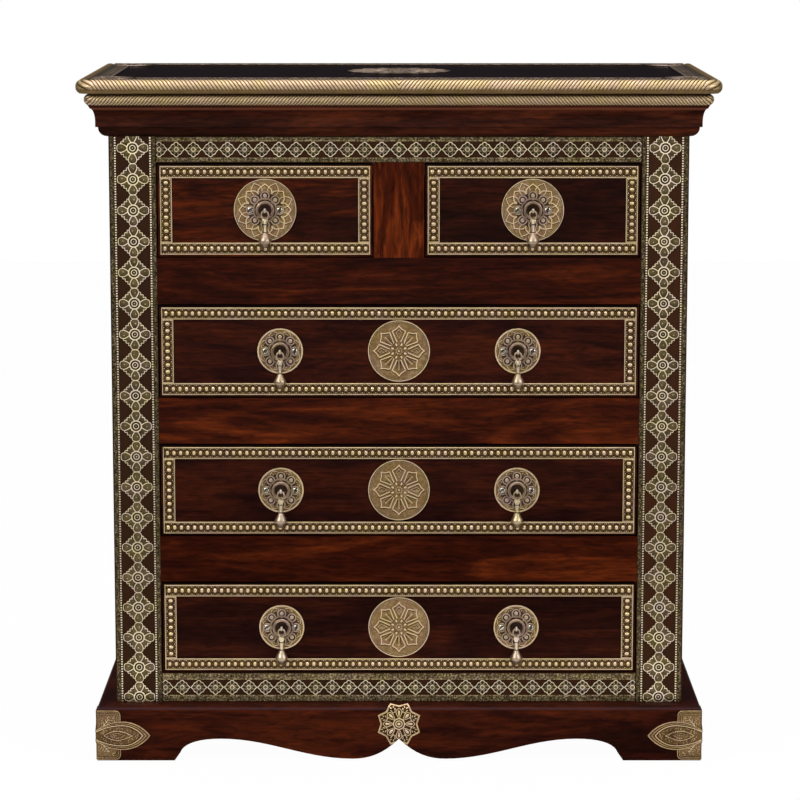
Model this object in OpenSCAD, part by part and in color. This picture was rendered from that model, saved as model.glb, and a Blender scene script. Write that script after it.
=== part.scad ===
// Brass-clad chest of drawers: two small drawers over three wide ones, in an inset face frame.
// Origin at the middle of the floor area, X to the right, front towards -Y, Z up.

/* [Case] */
// Width across the case, over its two corner stiles
case_w = 814; // [700:2:1000]
// Depth of the case, from the face of the stiles to its back
case_d = 407; // [340:1:520]
// Width of each corner stile
stile_w = 66.5; // [50:0.5:90]
// Thickness of the face frame's stiles and rails
frame_t = 22; // [16:1:30]
// Thickness of the side panels
side_t = 20; // [14:1:26]
// Thickness of the back panel
back_t = 8; // [5:1:14]
// Visible height of the top rail, below the cornice
top_rail_h = 37; // [34:1:60]
// Height of the rails between the drawers
rail_h = 66; // [40:1:90]
// Visible height of the bottom rail, above the plinth
base_rail_h = 43; // [36:1:70]
// Width of the short stile between the two small drawers
centre_stile_w = 71; // [50:1:110]

/* [Drawers] */
// Height of every drawer front
front_h = 130; // [115:1:170]
// Thickness of a drawer front
front_t = 20; // [16:1:26]
// How far a drawer front stands proud of the face frame
front_proud = 1; // [0.5:0.5:3]
// Running gap round a drawer front
reveal = 2; // [1.5:0.5:3]
// Space between a shut drawer and the back panel
back_space = 20; // [8:1:60]
// Thickness of the drawer sides and back
box_t = 12; // [9:1:16]
// How much lower the drawer sides are than the fronts
side_drop = 18; // [10:1:50]
// How much lower the drawer's back is
back_drop = 6; // [0:1:20]
// Thickness of a drawer bottom
floor_t = 6; // [4:1:9]
// Depth of the groove that holds a drawer bottom
groove_d = 6; // [4:1:8]
// Wood left under that groove
groove_lift = 10; // [7:1:16]

/* [Inside the case] */
// Height of a drawer runner
runner_h = 20; // [14:1:30]
// How far a runner reaches in past the drawer's side
runner_in = 40; // [22:1:60]
// Height of the guide strip beside a drawer
guide_h = 25; // [16:1:40]
// Height of a drawer stop
stop_h = 12; // [8:1:20]
// Width of a drawer stop
stop_w = 16; // [10:1:24]
// Gap between a shut drawer and its stop
stop_gap = 0.4; // [0.3:0.1:0.9]
// Thickness of the board that closes the case's bottom
base_board_t = 10; // [6:1:14]
// Width of the battens under the top
batten_w = 40; // [25:1:60]
// Height of those battens
batten_h = 25; // [18:1:40]
// Gap between a drawer's side and the kicker above it
kicker_gap = 2; // [1:0.5:4]
// Glue line left between two pieces that meet inside one node
joint = 0.2; // [0.1:0.05:0.4]

/* [Plinth] */
// Height of the plinth boards
plinth_h = 80; // [70:1:110]
// Thickness of the plinth boards, which stand out from the case by as much
plinth_t = 26; // [18:1:36]
// Radius rounding the plinth's top edge
plinth_round = 6; // [3:0.5:10]
// Height by which the plinth boards lap over the case
plinth_lap = 35; // [20:1:40]
// Thickness of the plinth's back board
plinth_back_t = 20; // [14:1:26]
// Size of the glue blocks in the plinth's corners
block_w = 60; // [40:1:80]
// Length of a front foot along the floor
foot_l = 111; // [90:1:140]
// Length of a side foot along the floor
side_foot_l = 80; // [60:1:110]
// Height of the apron's arches and of its middle cusp
arch_h = 32; // [20:1:38]
// Lowest point of the apron's two lobes
lobe_z = 2.5; // [1:0.5:8]
// Distance of a lobe's lowest point from the middle
lobe_x = 67; // [45:1:110]
// Length of the rise from a foot to the top of its arch
rise_l = 67; // [40:1:90]

/* [Top] */
// Height of the wooden cornice moulding
cornice_h = 48; // [40:1:70]
// How far the cornice stands out at its top
cornice_out = 27; // [24:1:40]
// Radius of the round at the cornice's foot
cornice_round = 13; // [8:0.5:14]
// Width of the fillet above that round
fillet_w = 3.5; // [1:0.5:6]
// Height of the fillet
fillet_h = 7; // [4:0.5:10]
// Height of the slanted lip at the cornice's top
lip_h = 8; // [5:0.5:12]
// Width of that lip
lip_w = 4; // [2:0.5:6]
// Thickness of the top board with its brass edge
top_t = 33; // [26:1:45]
// How far the brass edge stands out from the case
top_out = 43; // [40:1:56]
// Width of the brass edge beyond the top board
edge_w = 18; // [14:1:22]
// Thickness of the brass inlay on the top
inlay_t = 0.8; // [0.5:0.1:2]
// Width of the inlaid border
inlay_w = 47; // [30:1:70]
// Radius of the cut corners of the inlaid border
inlay_corner = 34; // [20:1:60]
// Radius of the medallion in the middle of the top
top_medallion_r = 74; // [50:1:110]
// Radius of the upper roll of the brass rope edge
roll_r = 10.5; // [7:0.5:11]
// Radius of the lower roll of the brass rope edge
low_roll_r = 6.5; // [4:0.5:7]
// How far the lower roll stands back from the upper one
low_roll_in = 10.5; // [8:0.5:12]

/* [Brass on the frame] */
// Thickness of the brass sheet
sheet_t = 1; // [0.6:0.1:2]
// Width of a stile's edge strips
strip_w = 5.5; // [3:0.5:8]
// Bare wood outside the outer strip
strip_margin = 2.5; // [1:0.5:5]
// Bare wood between the inner strip and the drawers
inner_margin = 1; // [0.5:0.5:3]
// Width of the beaded wires beside the strips
wire_w = 2; // [1:0.5:3]
// Space between a strip and its beaded wire
wire_gap = 0.8; // [0.4:0.1:2]
// Gap between a stile diamond's tips and the beaded wires
diamond_gap = 1.6; // [0.5:0.1:4]
// Gap between two diamonds in a stile, tip to tip
diamond_space = 0.7; // [0.4:0.1:8]
// Height of the first diamond's centre below the cornice
diamond_start = 16.5; // [5:0.5:30]
// Gap between a frieze diamond's tips and the strips
frieze_gap = 0.45; // [0.2:0.05:3]
// Gap between two diamonds in a frieze, tip to tip
frieze_space = 2.4; // [0.5:0.1:8]
// Height of a frieze's field between its two strips
frieze_field = 22.5; // [16:0.5:26]
// Bare edge round a frieze
frieze_margin = 1; // [0.5:0.5:3]

/* [Brass on the drawers] */
// Width of the border on a drawer front
border_w = 18; // [12:0.5:24]
// Thickness of the border
border_t = 1.6; // [1:0.1:3]
// Bare edge above the border
border_top = 1.4; // [0.5:0.1:4]
// Bare edge below the border
border_low = 2.6; // [1:0.1:5]
// Bare edge at the border's ends
border_side = 1.5; // [0.5:0.1:4]
// Gap between a large disc and the border above and below it
disc_gap = 1; // [0.5:0.5:8]
// Radius of the disc behind a wide drawer's pull
disc_r = 32.5; // [27:0.5:44]
// Thickness of the discs and medallions
disc_t = 1.5; // [1:0.1:3]
// Distance of a wide drawer's pulls from its middle
pull_x = 168; // [110:1:240]

/* [Pulls] */
// Radius of the cast rosette, tip to tip
rosette_r = 24.5; // [20:0.5:26]
// Thickness of the cast rosette
rosette_t = 3; // [2:0.5:5]
// Radius of the round petals on the rosette
petal_r = 6.6; // [5:0.1:8]
// Outer radius of the cup
cup_r = 14; // [11:0.5:16]
// Height of the cup above the rosette
cup_h = 5; // [3:0.5:6]
// Radius of the cup's hollow
hollow_r = 8.5; // [7:0.5:10]
// Distance of the pendant's pivot from the drawer front
pivot_out = 13.5; // [12:0.5:16]
// Radius of the eye's hole
eye_hole = 1.6; // [1.5:0.1:2.2]
// Wall of the eye round its hole
eye_wall = 1.6; // [1:0.1:2.2]
// Thickness of the flat eye
eye_t = 2; // [1.4:0.1:2.6]
// Radius of the pendant's ring, to the middle of its wire
ring_r = 5.4; // [5:0.1:7]
// Radius of the ring's wire
wire_r = 1.3; // [1:0.1:1.4]
// Length of the pendant below its pivot
pendant_l = 49.5; // [44:0.5:60]
// Largest radius of the drop
drop_r = 8.4; // [6:0.1:9]
// Radius of a screw head
screw_r = 3.5; // [2.5:0.1:4]
// Height of a screw head
screw_h = 1.8; // [1:0.1:3]
// Width and depth of a screw's slot
slot = 0.9; // [0.5:0.1:1.2]

/* [Brass on the plinth] */
// Reach of a corner mount's leaf from the corner
mount_l = 77; // [50:1:100]
// Width of a corner mount's upper and lower lobes
mount_w = 34; // [24:1:50]
// Half the height of the leaf
leaf_h = 21; // [14:0.5:28]
// Distance of the leaf's widest place from the corner
leaf_x = 36; // [26:1:50]
// Bare height below a corner mount
mount_low = 1.5; // [1:0.5:6]
// Radius of the lobes' corners
lobe_round = 7; // [3:0.5:10]
// Radius of the plinth rosette, to its tips
star_r = 31.5; // [22:0.5:36]
// Radius of that rosette between its tips
star_in = 26.5; // [18:0.5:30]
// Depth of that rosette's centre below the plinth's top
star_drop = 27; // [20:1:34]

/* [Hidden] */
$fn = 48;
pendants = ["left_drawer_pendant", "right_drawer_pendant",
    "upper_drawer_pendant_left", "upper_drawer_pendant_right",
    "middle_drawer_pendant_left", "middle_drawer_pendant_right",
    "lower_drawer_pendant_left", "lower_drawer_pendant_right"];

// The case stands flush with the top at the back
overall_d = case_d + top_out;
back_y = overall_d / 2;
face_y = back_y - case_d;
half_w = case_w / 2;
inner_w = half_w - side_t;
open_w = half_w - stile_w;
side_y = face_y + frame_t;
panel_y = back_y - back_t;

// Heights of the frame, counted up from the floor
case_lift = plinth_h - plinth_lap;
opening_h = front_h + 2 * reveal;
function level(i) = plinth_h + base_rail_h + i * (opening_h + rail_h);
levels = 4;
top_rail_z = level(levels - 1) + opening_h;
cornice_z = top_rail_z + top_rail_h;
top_z = cornice_z + cornice_h;
chest_h = top_z + top_t;

// The large discs and medallions fill the height inside a drawer's border
border_h = front_h - border_top - border_low;
medallion_r = border_h / 2 - border_w - disc_gap;

// Drawers: name, middle, width of the opening, level, pull positions, disc radius
small_open = open_w - centre_stile_w / 2;
small_x = (open_w + centre_stile_w / 2) / 2;
drawers = [
    ["left", -small_x, small_open, 3, [0], medallion_r],
    ["right", small_x, small_open, 3, [0], medallion_r],
    ["upper", 0, 2 * open_w, 2, [-pull_x, pull_x], disc_r],
    ["middle", 0, 2 * open_w, 1, [-pull_x, pull_x], disc_r],
    ["lower", 0, 2 * open_w, 0, [-pull_x, pull_x], disc_r]];
front_y = face_y - front_proud;
box_y = front_y + front_t;
box_end = panel_y - back_space;
box_h = front_h - side_drop;
pull_z = reveal + border_low + border_h / 2;

plinth_y = face_y - plinth_t;
core_out = top_out - edge_w;
core_t = top_t - inlay_t;
reach = 3 * top_out;
fit = 0.01;

drawer_parts = ["front", "box", "bottom", "brass", "pulls"];

wood = "#41150c";
dark_wood = "#2a100b";
pale_wood = "#9a6a42";
brass = "#b59d63";
old_brass = "#8d7c55";

// A block given by its lowest and highest corners
module block(low, high) translate(low) cube(high - low);

// A block and its mirror image on the other side
module both_blocks(low, high) for (m = [0, 1]) mirror([m, 0, 0]) block(low, high);

// Points of an arc, centre first, from one angle to the other
function arc(c, r, from, to, n) =
    [for (i = [0:n]) let (a = from + (to - from) * i / n) c + r * [cos(a), sin(a)]];

// A moulding's front run, mitred at both ends; its profile is [outwards, up]
module front_run(half, y) intersection() {
    translate([0, y, 0]) mirror([0, 1, 0]) rotate([90, 0, 90])
        linear_extrude(2 * (half + reach), center = true) children();
    translate([0, y, 0]) linear_extrude(3 * chest_h, center = true)
        polygon([[-half + joint, 0], [half - joint, 0],
            [half + reach - joint, -reach], [-half - reach + joint, -reach]]);
}

// A moulding's right-hand run, mitred at the front and square at the back
module side_run(half, y) intersection() {
    translate([half, back_y, 0]) rotate([90, 0, 0])
        linear_extrude(2 * overall_d) children();
    linear_extrude(3 * chest_h, center = true) polygon([[half, y], [half + reach, y - reach],
        [half + reach, back_y], [half, back_y]]);
}

module side_runs(half, y) for (m = [0, 1]) mirror([m, 0, 0]) side_run(half, y) children();

module three_runs(half, y) {
    front_run(half, y) children();
    side_runs(half, y) children();
}

module side_panel() color(wood)
    block([inner_w, side_y, case_lift], [half_w, back_y, top_z]);

module back_panel() color(dark_wood)
    block([-inner_w, panel_y, case_lift], [inner_w, back_y, top_z]);

module stile() color(wood)
    block([open_w, face_y, case_lift], [half_w, side_y, top_z]);

module top_rail() color(wood)
    block([-open_w, face_y, top_rail_z], [open_w, side_y, top_z]);

module drawer_rails() color(wood) for (i = [1:levels - 1])
    block([-open_w, face_y, level(i) - rail_h], [open_w, side_y, level(i)]);

module bottom_rail() color(wood)
    block([-open_w, face_y, case_lift], [open_w, side_y, level(0)]);

module centre_stile() color(wood) let (w = centre_stile_w / 2)
    block([-w, face_y, level(levels - 1)], [w, side_y, top_rail_z]);

// Runners carry the drawers' sides, and one in the middle serves both small drawers
module runners() color(pale_wood) {
    for (i = [0:levels - 1]) both_blocks(
        [open_w - runner_in, side_y, level(i) - runner_h], [inner_w, panel_y, level(i)]);
    let (w = centre_stile_w / 2 + runner_in, z = level(levels - 1))
        block([-w, side_y, z - runner_h], [w, panel_y, z]);
}

// Guides fill the space beside the drawers, flush with the face frame's openings
module guides() color(pale_wood) {
    for (i = [0:levels - 1]) both_blocks(
        [open_w, side_y, level(i)], [inner_w, panel_y, level(i) + guide_h]);
    let (w = centre_stile_w / 2, z = level(levels - 1))
        block([-w, side_y, z], [w, panel_y, z + guide_h]);
}

// Kickers above the drawers' sides stop an open drawer from tipping
module kickers() color(pale_wood) for (i = [0:levels - 1])
    let (z = level(i) + box_h + kicker_gap, top = level(i) + opening_h) {
        both_blocks([open_w - runner_in, side_y, z], [inner_w, panel_y, top]);
        if (i == levels - 1) let (w = centre_stile_w / 2 + runner_in)
            block([-w, side_y, z], [w, panel_y, top]);
    }

// A stop stands on a runner behind each drawer's corner
module drawer_stops() color(pale_wood) for (d = drawers) for (side = [-1, 1])
    let (x = d[1] + side * (d[2] / 2 - reveal - stop_w / 2), z = level(d[3]))
        block([x - stop_w / 2, box_end + stop_gap, z], [x + stop_w / 2, panel_y, z + stop_h]);

module bottom_board() color(pale_wood) let (z = level(0) - runner_h)
    block([-inner_w, side_y, z - base_board_t], [inner_w, panel_y, z]);

module top_battens() color(pale_wood) for (y = [side_y, panel_y - batten_w])
    block([-inner_w, y, top_z - batten_h], [inner_w, y + batten_w, top_z]);

module corner_blocks() color(pale_wood)
    for (y = [face_y, back_y - plinth_back_t - block_w])
        both_blocks([half_w - block_w, y, 0], [half_w, y + block_w, case_lift]);

// Section of a plinth board, with its outer top edge rounded
module plinth_section() {
    square([plinth_t - plinth_round, plinth_h]);
    square([plinth_t, plinth_h - plinth_round]);
    translate([plinth_t - plinth_round, plinth_h - plinth_round]) circle(plinth_round);
}

// Half of the front apron: a foot's inner edge, the arch, the lobe and the middle cusp
foot_x = half_w + plinth_t - foot_l;
arch_x = foot_x - rise_l;
function rise(foot, from, n = 10) = concat([[foot, 0]],
    [for (i = [1:n]) let (u = i / n) [foot - from * (0.12 + 0.88 * u * u),
        arch_h * (0.28 + 0.72 * sin(90 * u))]]);
function sweep(n = 14) = [for (i = [1:n]) let (u = i / n)
    [arch_x + (lobe_x - arch_x) * u, lobe_z + (arch_h - lobe_z) * (1 + cos(180 * u)) / 2]];
function cusp(n = 8) = [for (i = [1:n]) let (u = i / n)
    [lobe_x * (1 - u), lobe_z + (arch_h - lobe_z) * pow(u, 2.3)]];
module apron_cut() {
    half = concat(rise(foot_x, rise_l), sweep(), cusp());
    below = -plinth_h;
    polygon(concat([[foot_x, below]], half, [[0, below]]));
    mirror([1, 0]) polygon(concat([[foot_x, below]], half, [[0, below]]));
}

module plinth_front() color(wood) difference() {
    front_run(half_w, face_y) plinth_section();
    translate([0, face_y + fit, 0]) rotate([90, 0, 0])
        linear_extrude(plinth_t + 1) apron_cut();
}

// The side boards have one plain arch between a front and a back foot
module side_arch() {
    front = rise(0, rise_l);
    span = back_y - plinth_y - 2 * side_foot_l;
    back = [for (i = [len(front) - 1:-1:0]) [-span - front[i][0], front[i][1]]];
    polygon(concat([[0, -plinth_h]], front, back, [[-span, -plinth_h]]));
}

module plinth_sides() color(wood) difference() {
    side_runs(half_w, face_y) plinth_section();
    for (m = [0, 1]) mirror([m, 0, 0])
        translate([half_w - fit, plinth_y + side_foot_l, 0]) rotate([90, 0, 90])
            linear_extrude(plinth_t + 1) mirror([1, 0]) side_arch();
}

module plinth_back() color(dark_wood)
    block([-half_w, back_y - plinth_back_t, 0], [half_w, back_y, case_lift]);

// Section of the cornice: round, fillet, hollow and slanted lip
module cornice_section() {
    fillet = cornice_round + fillet_w;
    hollow_z = cornice_round + 1 + fillet_h;
    lip_z = cornice_h - lip_h;
    lip = cornice_out - lip_w;
    hollow = [for (i = [0:8]) let (u = i / 8)
        [fillet + (lip - fillet) * (1 - cos(90 * u)), hollow_z + (lip_z - hollow_z) * sin(90 * u)]];
    polygon(concat([[0, 0]], arc([0, cornice_round], cornice_round, -80, 0, 7),
        [[cornice_round, cornice_round + 0.5], [fillet, cornice_round + 1]], hollow,
        [[cornice_out, cornice_h - 1], [cornice_out, cornice_h], [0, cornice_h]]));
}

module cornice() color(wood)
    translate([0, 0, cornice_z]) three_runs(half_w, face_y) cornice_section();

core_y = face_y - core_out;
core_w = half_w + core_out;
module top_board() color(dark_wood)
    block([-core_w, core_y, top_z], [core_w, back_y, top_z + core_t]);

// Section of the brass wrapped round the top's edge: a large roll over a small one
module rope_section() {
    square([edge_w - 0.7 * roll_r, top_t]);
    translate([edge_w - roll_r, top_t - roll_r]) circle(roll_r);
    translate([edge_w - low_roll_in - low_roll_r, low_roll_r]) circle(low_roll_r);
}

module rope_edging() color(brass)
    translate([0, 0, top_z]) three_runs(core_w, core_y) rope_section();

// The border's inner edge has a quarter circle cut into each corner
module inlay_field() {
    w = core_w + edge_w - inlay_w;
    front = core_y - edge_w + inlay_w;
    back = back_y - inlay_w;
    difference() {
        translate([-w, front]) square([2 * w, back - front]);
        for (x = [-w, w]) for (y = [front, back]) translate([x, y]) circle(inlay_corner);
    }
}

module top_inlay() color(brass) translate([0, 0, top_z + core_t]) {
    linear_extrude(inlay_t) difference() {
        translate([-core_w, core_y]) square([2 * core_w, back_y - core_y]);
        inlay_field();
    }
    translate([0, (core_y + back_y) / 2, 0]) cylinder(r = top_medallion_r, h = inlay_t);
}

// A diamond-shaped flower with four round tips and four round sides
module flower(size) {
    tip = size * 0.13;
    side = size * 0.1;
    rotate(45) square(size * 0.6, center = true);
    for (i = [0:3]) rotate(90 * i) {
        translate([size / 2 - tip, 0]) circle(tip);
        rotate(45) translate([size * 0.27, 0]) circle(side);
    }
}

// Puts a flat shape on the case's face, growing forwards
module on_face(y, t) translate([0, y, 0]) rotate([90, 0, 0]) linear_extrude(t) children();

// Distances of the strips and wires from a stile's outer and inner edges
outer_strip = strip_margin + strip_w;
outer_wire = outer_strip + wire_gap + wire_w;
inner_wire = inner_margin + strip_w + wire_gap;
diamond_low = open_w + inner_wire + wire_w + diamond_gap;
diamond_high = half_w - outer_wire - diamond_gap;
diamond_x = (diamond_low + diamond_high) / 2;
diamond = diamond_high - diamond_low;
diamond_pitch = diamond + diamond_space;
module stile_strips() {
    for (x = [half_w - outer_strip, open_w + inner_margin])
        translate([x, plinth_h]) square([strip_w, cornice_z - plinth_h]);
    for (x = [half_w - outer_wire, open_w + inner_wire])
        translate([x, plinth_h]) square([wire_w, cornice_z - plinth_h]);
}

module stile_diamonds() intersection() {
    for (i = [0:floor((cornice_z - plinth_h) / diamond_pitch) + 1])
        translate([diamond_x, cornice_z - diamond_start - i * diamond_pitch]) flower(diamond);
    translate([open_w, plinth_h]) square([stile_w, cornice_z - plinth_h]);
}

module stile_brass() color(old_brass) for (m = [0, 1]) mirror([m, 0, 0]) {
    on_face(face_y, sheet_t) stile_strips();
    on_face(face_y, sheet_t) stile_diamonds();
}

// A frieze: two pitted strips with a row of small diamonds between them
frieze_diamond = frieze_field - 2 * frieze_gap;
frieze_pitch = frieze_diamond + frieze_space;
module frieze(z, h) {
    strip = (h - frieze_field) / 2 - frieze_margin;
    w = open_w - 0.5;
    middle = z + h / 2;
    count = ceil(open_w / frieze_pitch - 0.5);
    for (low = [z + frieze_margin, z + h - frieze_margin - strip])
        translate([-w, low]) square([2 * w, strip]);
    intersection() {
        for (i = [-count:count])
            translate([i * frieze_pitch, middle]) flower(frieze_diamond);
        translate([-w, z]) square([2 * w, h]);
    }
}

module frieze_brass() color(old_brass) {
    on_face(face_y, sheet_t) frieze(top_rail_z, top_rail_h);
    on_face(face_y, sheet_t) frieze(plinth_h, base_rail_h);
}

// A corner mount's outline from the corner: two round-cornered lobes and a pointed leaf
module mount_outline() {
    top = plinth_h - plinth_round;
    middle = (top + mount_low) / 2;
    tip = mount_l - leaf_x;
    bow = (tip * tip + leaf_h * leaf_h) / (2 * leaf_h);
    translate([0, mount_low]) square([mount_w - lobe_round, top - mount_low]);
    translate([0, mount_low + lobe_round])
        square([mount_w, top - mount_low - 2 * lobe_round]);
    for (z = [mount_low + lobe_round, top - lobe_round])
        translate([mount_w - lobe_round, z]) circle(lobe_round);
    intersection() {
        translate([leaf_x, middle + leaf_h - bow]) circle(bow);
        translate([leaf_x, middle - leaf_h + bow]) circle(bow);
        square([mount_l, plinth_h]);
    }
}

// Each mount is one brass sheet bent round the plinth's front corner
module corner_mounts() color(brass) for (m = [0, 1]) mirror([m, 0, 0])
    translate([half_w + plinth_t, plinth_y, 0]) {
        mirror([1, 0, 0]) rotate([90, 0, 0]) linear_extrude(sheet_t) mount_outline();
        translate([0, -sheet_t, 0]) rotate([90, 0, 90]) linear_extrude(sheet_t) mount_outline();
    }

// An eight-pointed star over the apron's cusp, cut to follow it
module star() difference() {
    translate([0, plinth_h - star_drop])
        polygon([for (i = [0:15]) let (a = 22.5 * i, r = i % 2 ? star_r : star_in)
            r * [sin(a), cos(a)]]);
    apron_cut();
}

module plinth_rosette() color(brass) on_face(plinth_y, sheet_t) star();

// Drawer parts, all placed by the drawer's own row
module drawer_front(d) color(wood) let (w = d[2] / 2 - reveal, z = level(d[3]))
    difference() {
        block([d[1] - w, front_y, z + reveal], [d[1] + w, box_y, z + reveal + front_h]);
        block([d[1] - w + box_t - groove_d, box_y - groove_d, z + groove_lift],
            [d[1] + w - box_t + groove_d, box_y + 1, z + groove_lift + floor_t]);
    }

// Two grooved sides and a back that stands on the bottom
module drawer_box(d) color(pale_wood) translate([d[1], 0, level(d[3])]) {
    w = d[2] / 2 - reveal;
    for (m = [0, 1]) mirror([m, 0, 0]) difference() {
        block([w - box_t, box_y, 0], [w, box_end, box_h]);
        block([w - box_t - 1, box_y - 1, groove_lift],
            [w - box_t + groove_d, box_end + 1, groove_lift + floor_t]);
    }
    block([-w + box_t + joint, box_end - box_t, groove_lift + floor_t],
        [w - box_t - joint, box_end, box_h - back_drop]);
}

module drawer_bottom(d) color(pale_wood) let (w = d[2] / 2 - reveal - box_t + groove_d)
    translate([d[1], 0, level(d[3]) + groove_lift])
        block([-w, box_y - groove_d, 0], [w, box_end, floor_t]);

// The border's four strips, and on a wide drawer the medallion
module drawer_brass(d) color(brass) translate([d[1], 0, level(d[3]) + reveal]) {
    w = d[2] / 2 - reveal - border_side;
    low = border_low;
    high = front_h - border_top;
    on_face(front_y, border_t) {
        translate([-w, low]) square([2 * w, border_w]);
        translate([-w, high - border_w]) square([2 * w, border_w]);
    }
    on_face(front_y, border_t) for (x = [-w, w - border_w])
        translate([x, low + border_w + joint])
            square([border_w, border_h - 2 * border_w - 2 * joint]);
    if (len(d[4]) > 1)
        on_face(front_y, disc_t) translate([0, low + border_h / 2]) circle(medallion_r);
}

// One cast pull: disc, petalled rosette, cup and the flat eye that the ring hangs in
module pull_base(back_r) rotate([90, 0, 0]) {
    cylinder(r = back_r, h = disc_t);
    translate([0, 0, disc_t]) linear_extrude(rosette_t) {
        circle(rosette_r - petal_r);
        for (i = [0:7]) rotate(45 * i) translate([rosette_r - petal_r, 0]) circle(petal_r);
    }
    translate([0, 0, disc_t + rosette_t]) rotate_extrude() polygon([[0, 0], [cup_r, 0],
        [cup_r, cup_h * 0.2], [cup_r * 0.93, cup_h * 0.88], [cup_r * 0.86, cup_h],
        [cup_r * 0.77, cup_h * 0.92], [hollow_r, cup_h * 0.35], [0, cup_h * 0.2]]);
    stem = eye_hole + eye_wall * 0.6;
    difference() {
        union() {
            translate([-eye_t / 2, -stem, disc_t + rosette_t])
                cube([eye_t, 2 * stem, pivot_out - disc_t - rosette_t]);
            translate([0, 0, pivot_out]) rotate([0, 90, 0])
                cylinder(r = eye_hole + eye_wall, h = eye_t, center = true);
        }
        translate([0, 0, pivot_out]) rotate([0, 90, 0])
            cylinder(r = eye_hole, h = eye_t + 1, center = true);
    }
}

// A slotted screw in each side petal of the rosette
module pull_screw(turn) rotate([90, 0, 0])
    translate([0, 0, disc_t + rosette_t + joint]) difference() {
        cylinder(r = screw_r, h = screw_h);
        rotate(turn) translate([-screw_r - 1, -slot / 2, screw_h - slot])
            cube([2 * screw_r + 2, slot, slot + 1]);
    }

module drawer_pulls(d) color(brass) for (x = d[4])
    translate([d[1] + x, front_y, level(d[3]) + pull_z]) {
        pull_base(d[5]);
        for (s = [-1, 1]) translate([s * (rosette_r - petal_r + 2), 0, 0])
            pull_screw(35 * s);
    }

// The link below its ring: shares of the drop's radius and of the pendant's length
link = [[0.38, 0.34], [0.38, 0.356], [0.23, 0.372], [0.25, 0.485], [0.32, 0.566],
    [0.4, 0.578], [0.37, 0.594], [0.55, 0.636], [0.88, 0.727], [1, 0.798], [0.93, 0.859],
    [0.73, 0.919], [0.38, 0.976], [0, 1]];

// A cast link: ring, tapered shank, neck and drop, hanging from the middle of the ring's top
module pendant(d, i) color(brass)
    translate([d[1] + d[4][i], front_y - pivot_out, level(d[3]) + pull_z]) {
        shank = 2 * ring_r - wire_r * 0.75;
        translate([0, 0, -ring_r]) rotate([90, 0, 0])
            rotate_extrude() translate([ring_r, 0]) circle(wire_r);
        rotate_extrude() polygon(concat(
            [[0, -shank], [drop_r * 0.4, -shank], [drop_r * 0.48, -shank - 1.4 * wire_r]],
            [for (p = link) [p[0] * drop_r, -p[1] * pendant_l]]));
    }

mirror([1, 0, 0]) side_panel();  // side_panel_left
side_panel();  // side_panel_right
back_panel();
mirror([1, 0, 0]) stile();  // stile_left
stile();  // stile_right
top_rail();
drawer_rails();
bottom_rail();
centre_stile();
runners();
guides();
kickers();
drawer_stops();
bottom_board();
top_battens();
corner_blocks();
plinth_front();
plinth_sides();
plinth_back();
cornice();
top_board();
rope_edging();
top_inlay();
stile_brass();
frieze_brass();
corner_mounts();
plinth_rosette();
for (d = drawers) {
    drawer_front(d);
    drawer_box(d);
    drawer_bottom(d);
    drawer_brass(d);
    drawer_pulls(d);
}
pendant(drawers[0], 0);
pendant(drawers[1], 0);
pendant(drawers[2], 0);
pendant(drawers[2], 1);
pendant(drawers[3], 0);
pendant(drawers[3], 1);
pendant(drawers[4], 0);
pendant(drawers[4], 1);
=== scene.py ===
import math
import random

import bmesh
import bpy
from mathutils import Matrix, Vector


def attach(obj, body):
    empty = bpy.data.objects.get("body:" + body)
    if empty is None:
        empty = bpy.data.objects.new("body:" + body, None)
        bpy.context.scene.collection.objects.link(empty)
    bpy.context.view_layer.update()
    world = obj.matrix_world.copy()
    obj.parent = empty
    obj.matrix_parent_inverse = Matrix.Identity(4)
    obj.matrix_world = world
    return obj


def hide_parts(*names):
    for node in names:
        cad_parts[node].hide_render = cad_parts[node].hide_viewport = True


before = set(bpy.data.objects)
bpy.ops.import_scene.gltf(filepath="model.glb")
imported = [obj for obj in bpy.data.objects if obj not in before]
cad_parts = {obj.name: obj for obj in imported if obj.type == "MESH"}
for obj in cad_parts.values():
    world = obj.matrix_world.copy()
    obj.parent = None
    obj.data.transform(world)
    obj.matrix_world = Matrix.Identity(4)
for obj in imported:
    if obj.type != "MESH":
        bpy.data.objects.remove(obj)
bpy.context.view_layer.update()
random.seed(7)
mm = 0.001

# Camera: the photograph's own view, a little above the top of the chest
view = {"lens": 141.9, "sensor": 36, "location": (0.0015, -4.6, 1.222), "tilt": 80.972, "reach": 60}
camera = bpy.data.objects.new("camera", bpy.data.cameras.new("camera"))
camera.data.lens = view["lens"]
camera.data.sensor_width = view["sensor"]
camera.data.clip_end = view["reach"]
camera.location = view["location"]
camera.rotation_euler = (math.radians(view["tilt"]), 0, 0)
bpy.context.collection.objects.link(camera)
bpy.context.scene.camera = camera
bpy.context.scene.view_settings.view_transform = "Standard"
print("camera ready")

# Sizes that the source gives, in millimetres
chest = {
    "halfWidth": 407, "face": -182, "back": 225, "drawerFace": -183, "plinthFace": -208, "plinthHeight": 80,
    "openHalf": 340.5, "corniceZ": 894, "topZ": 942, "coreHalf": 432, "coreFront": -207, "mountCorner": 433,
}
# Each drawer's opening: its lower edge, middle and width, and the places of the pulls on it
drawers = {
    "left": (723, -188, 305, (0,)), "right": (723, 188, 305, (0,)), "upper": (523, 0, 681, (-168, 168)),
    "middle": (323, 0, 681, (-168, 168)), "lower": (123, 0, 681, (-168, 168)),
}
border = {"width": 16.8, "rim": 1.6, "height": 1.7, "floor": 0.5, "pitch": 9.35, "bead": (2.7, 3.5, 1.6),
          "low": 4.6, "high": 129.4, "side": 4.9, "middle": 67.6}

materials = {}


# Node helpers for the materials
def setSockets(node, values):
    for name, value in values.items():
        node.inputs[name].default_value = value


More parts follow.
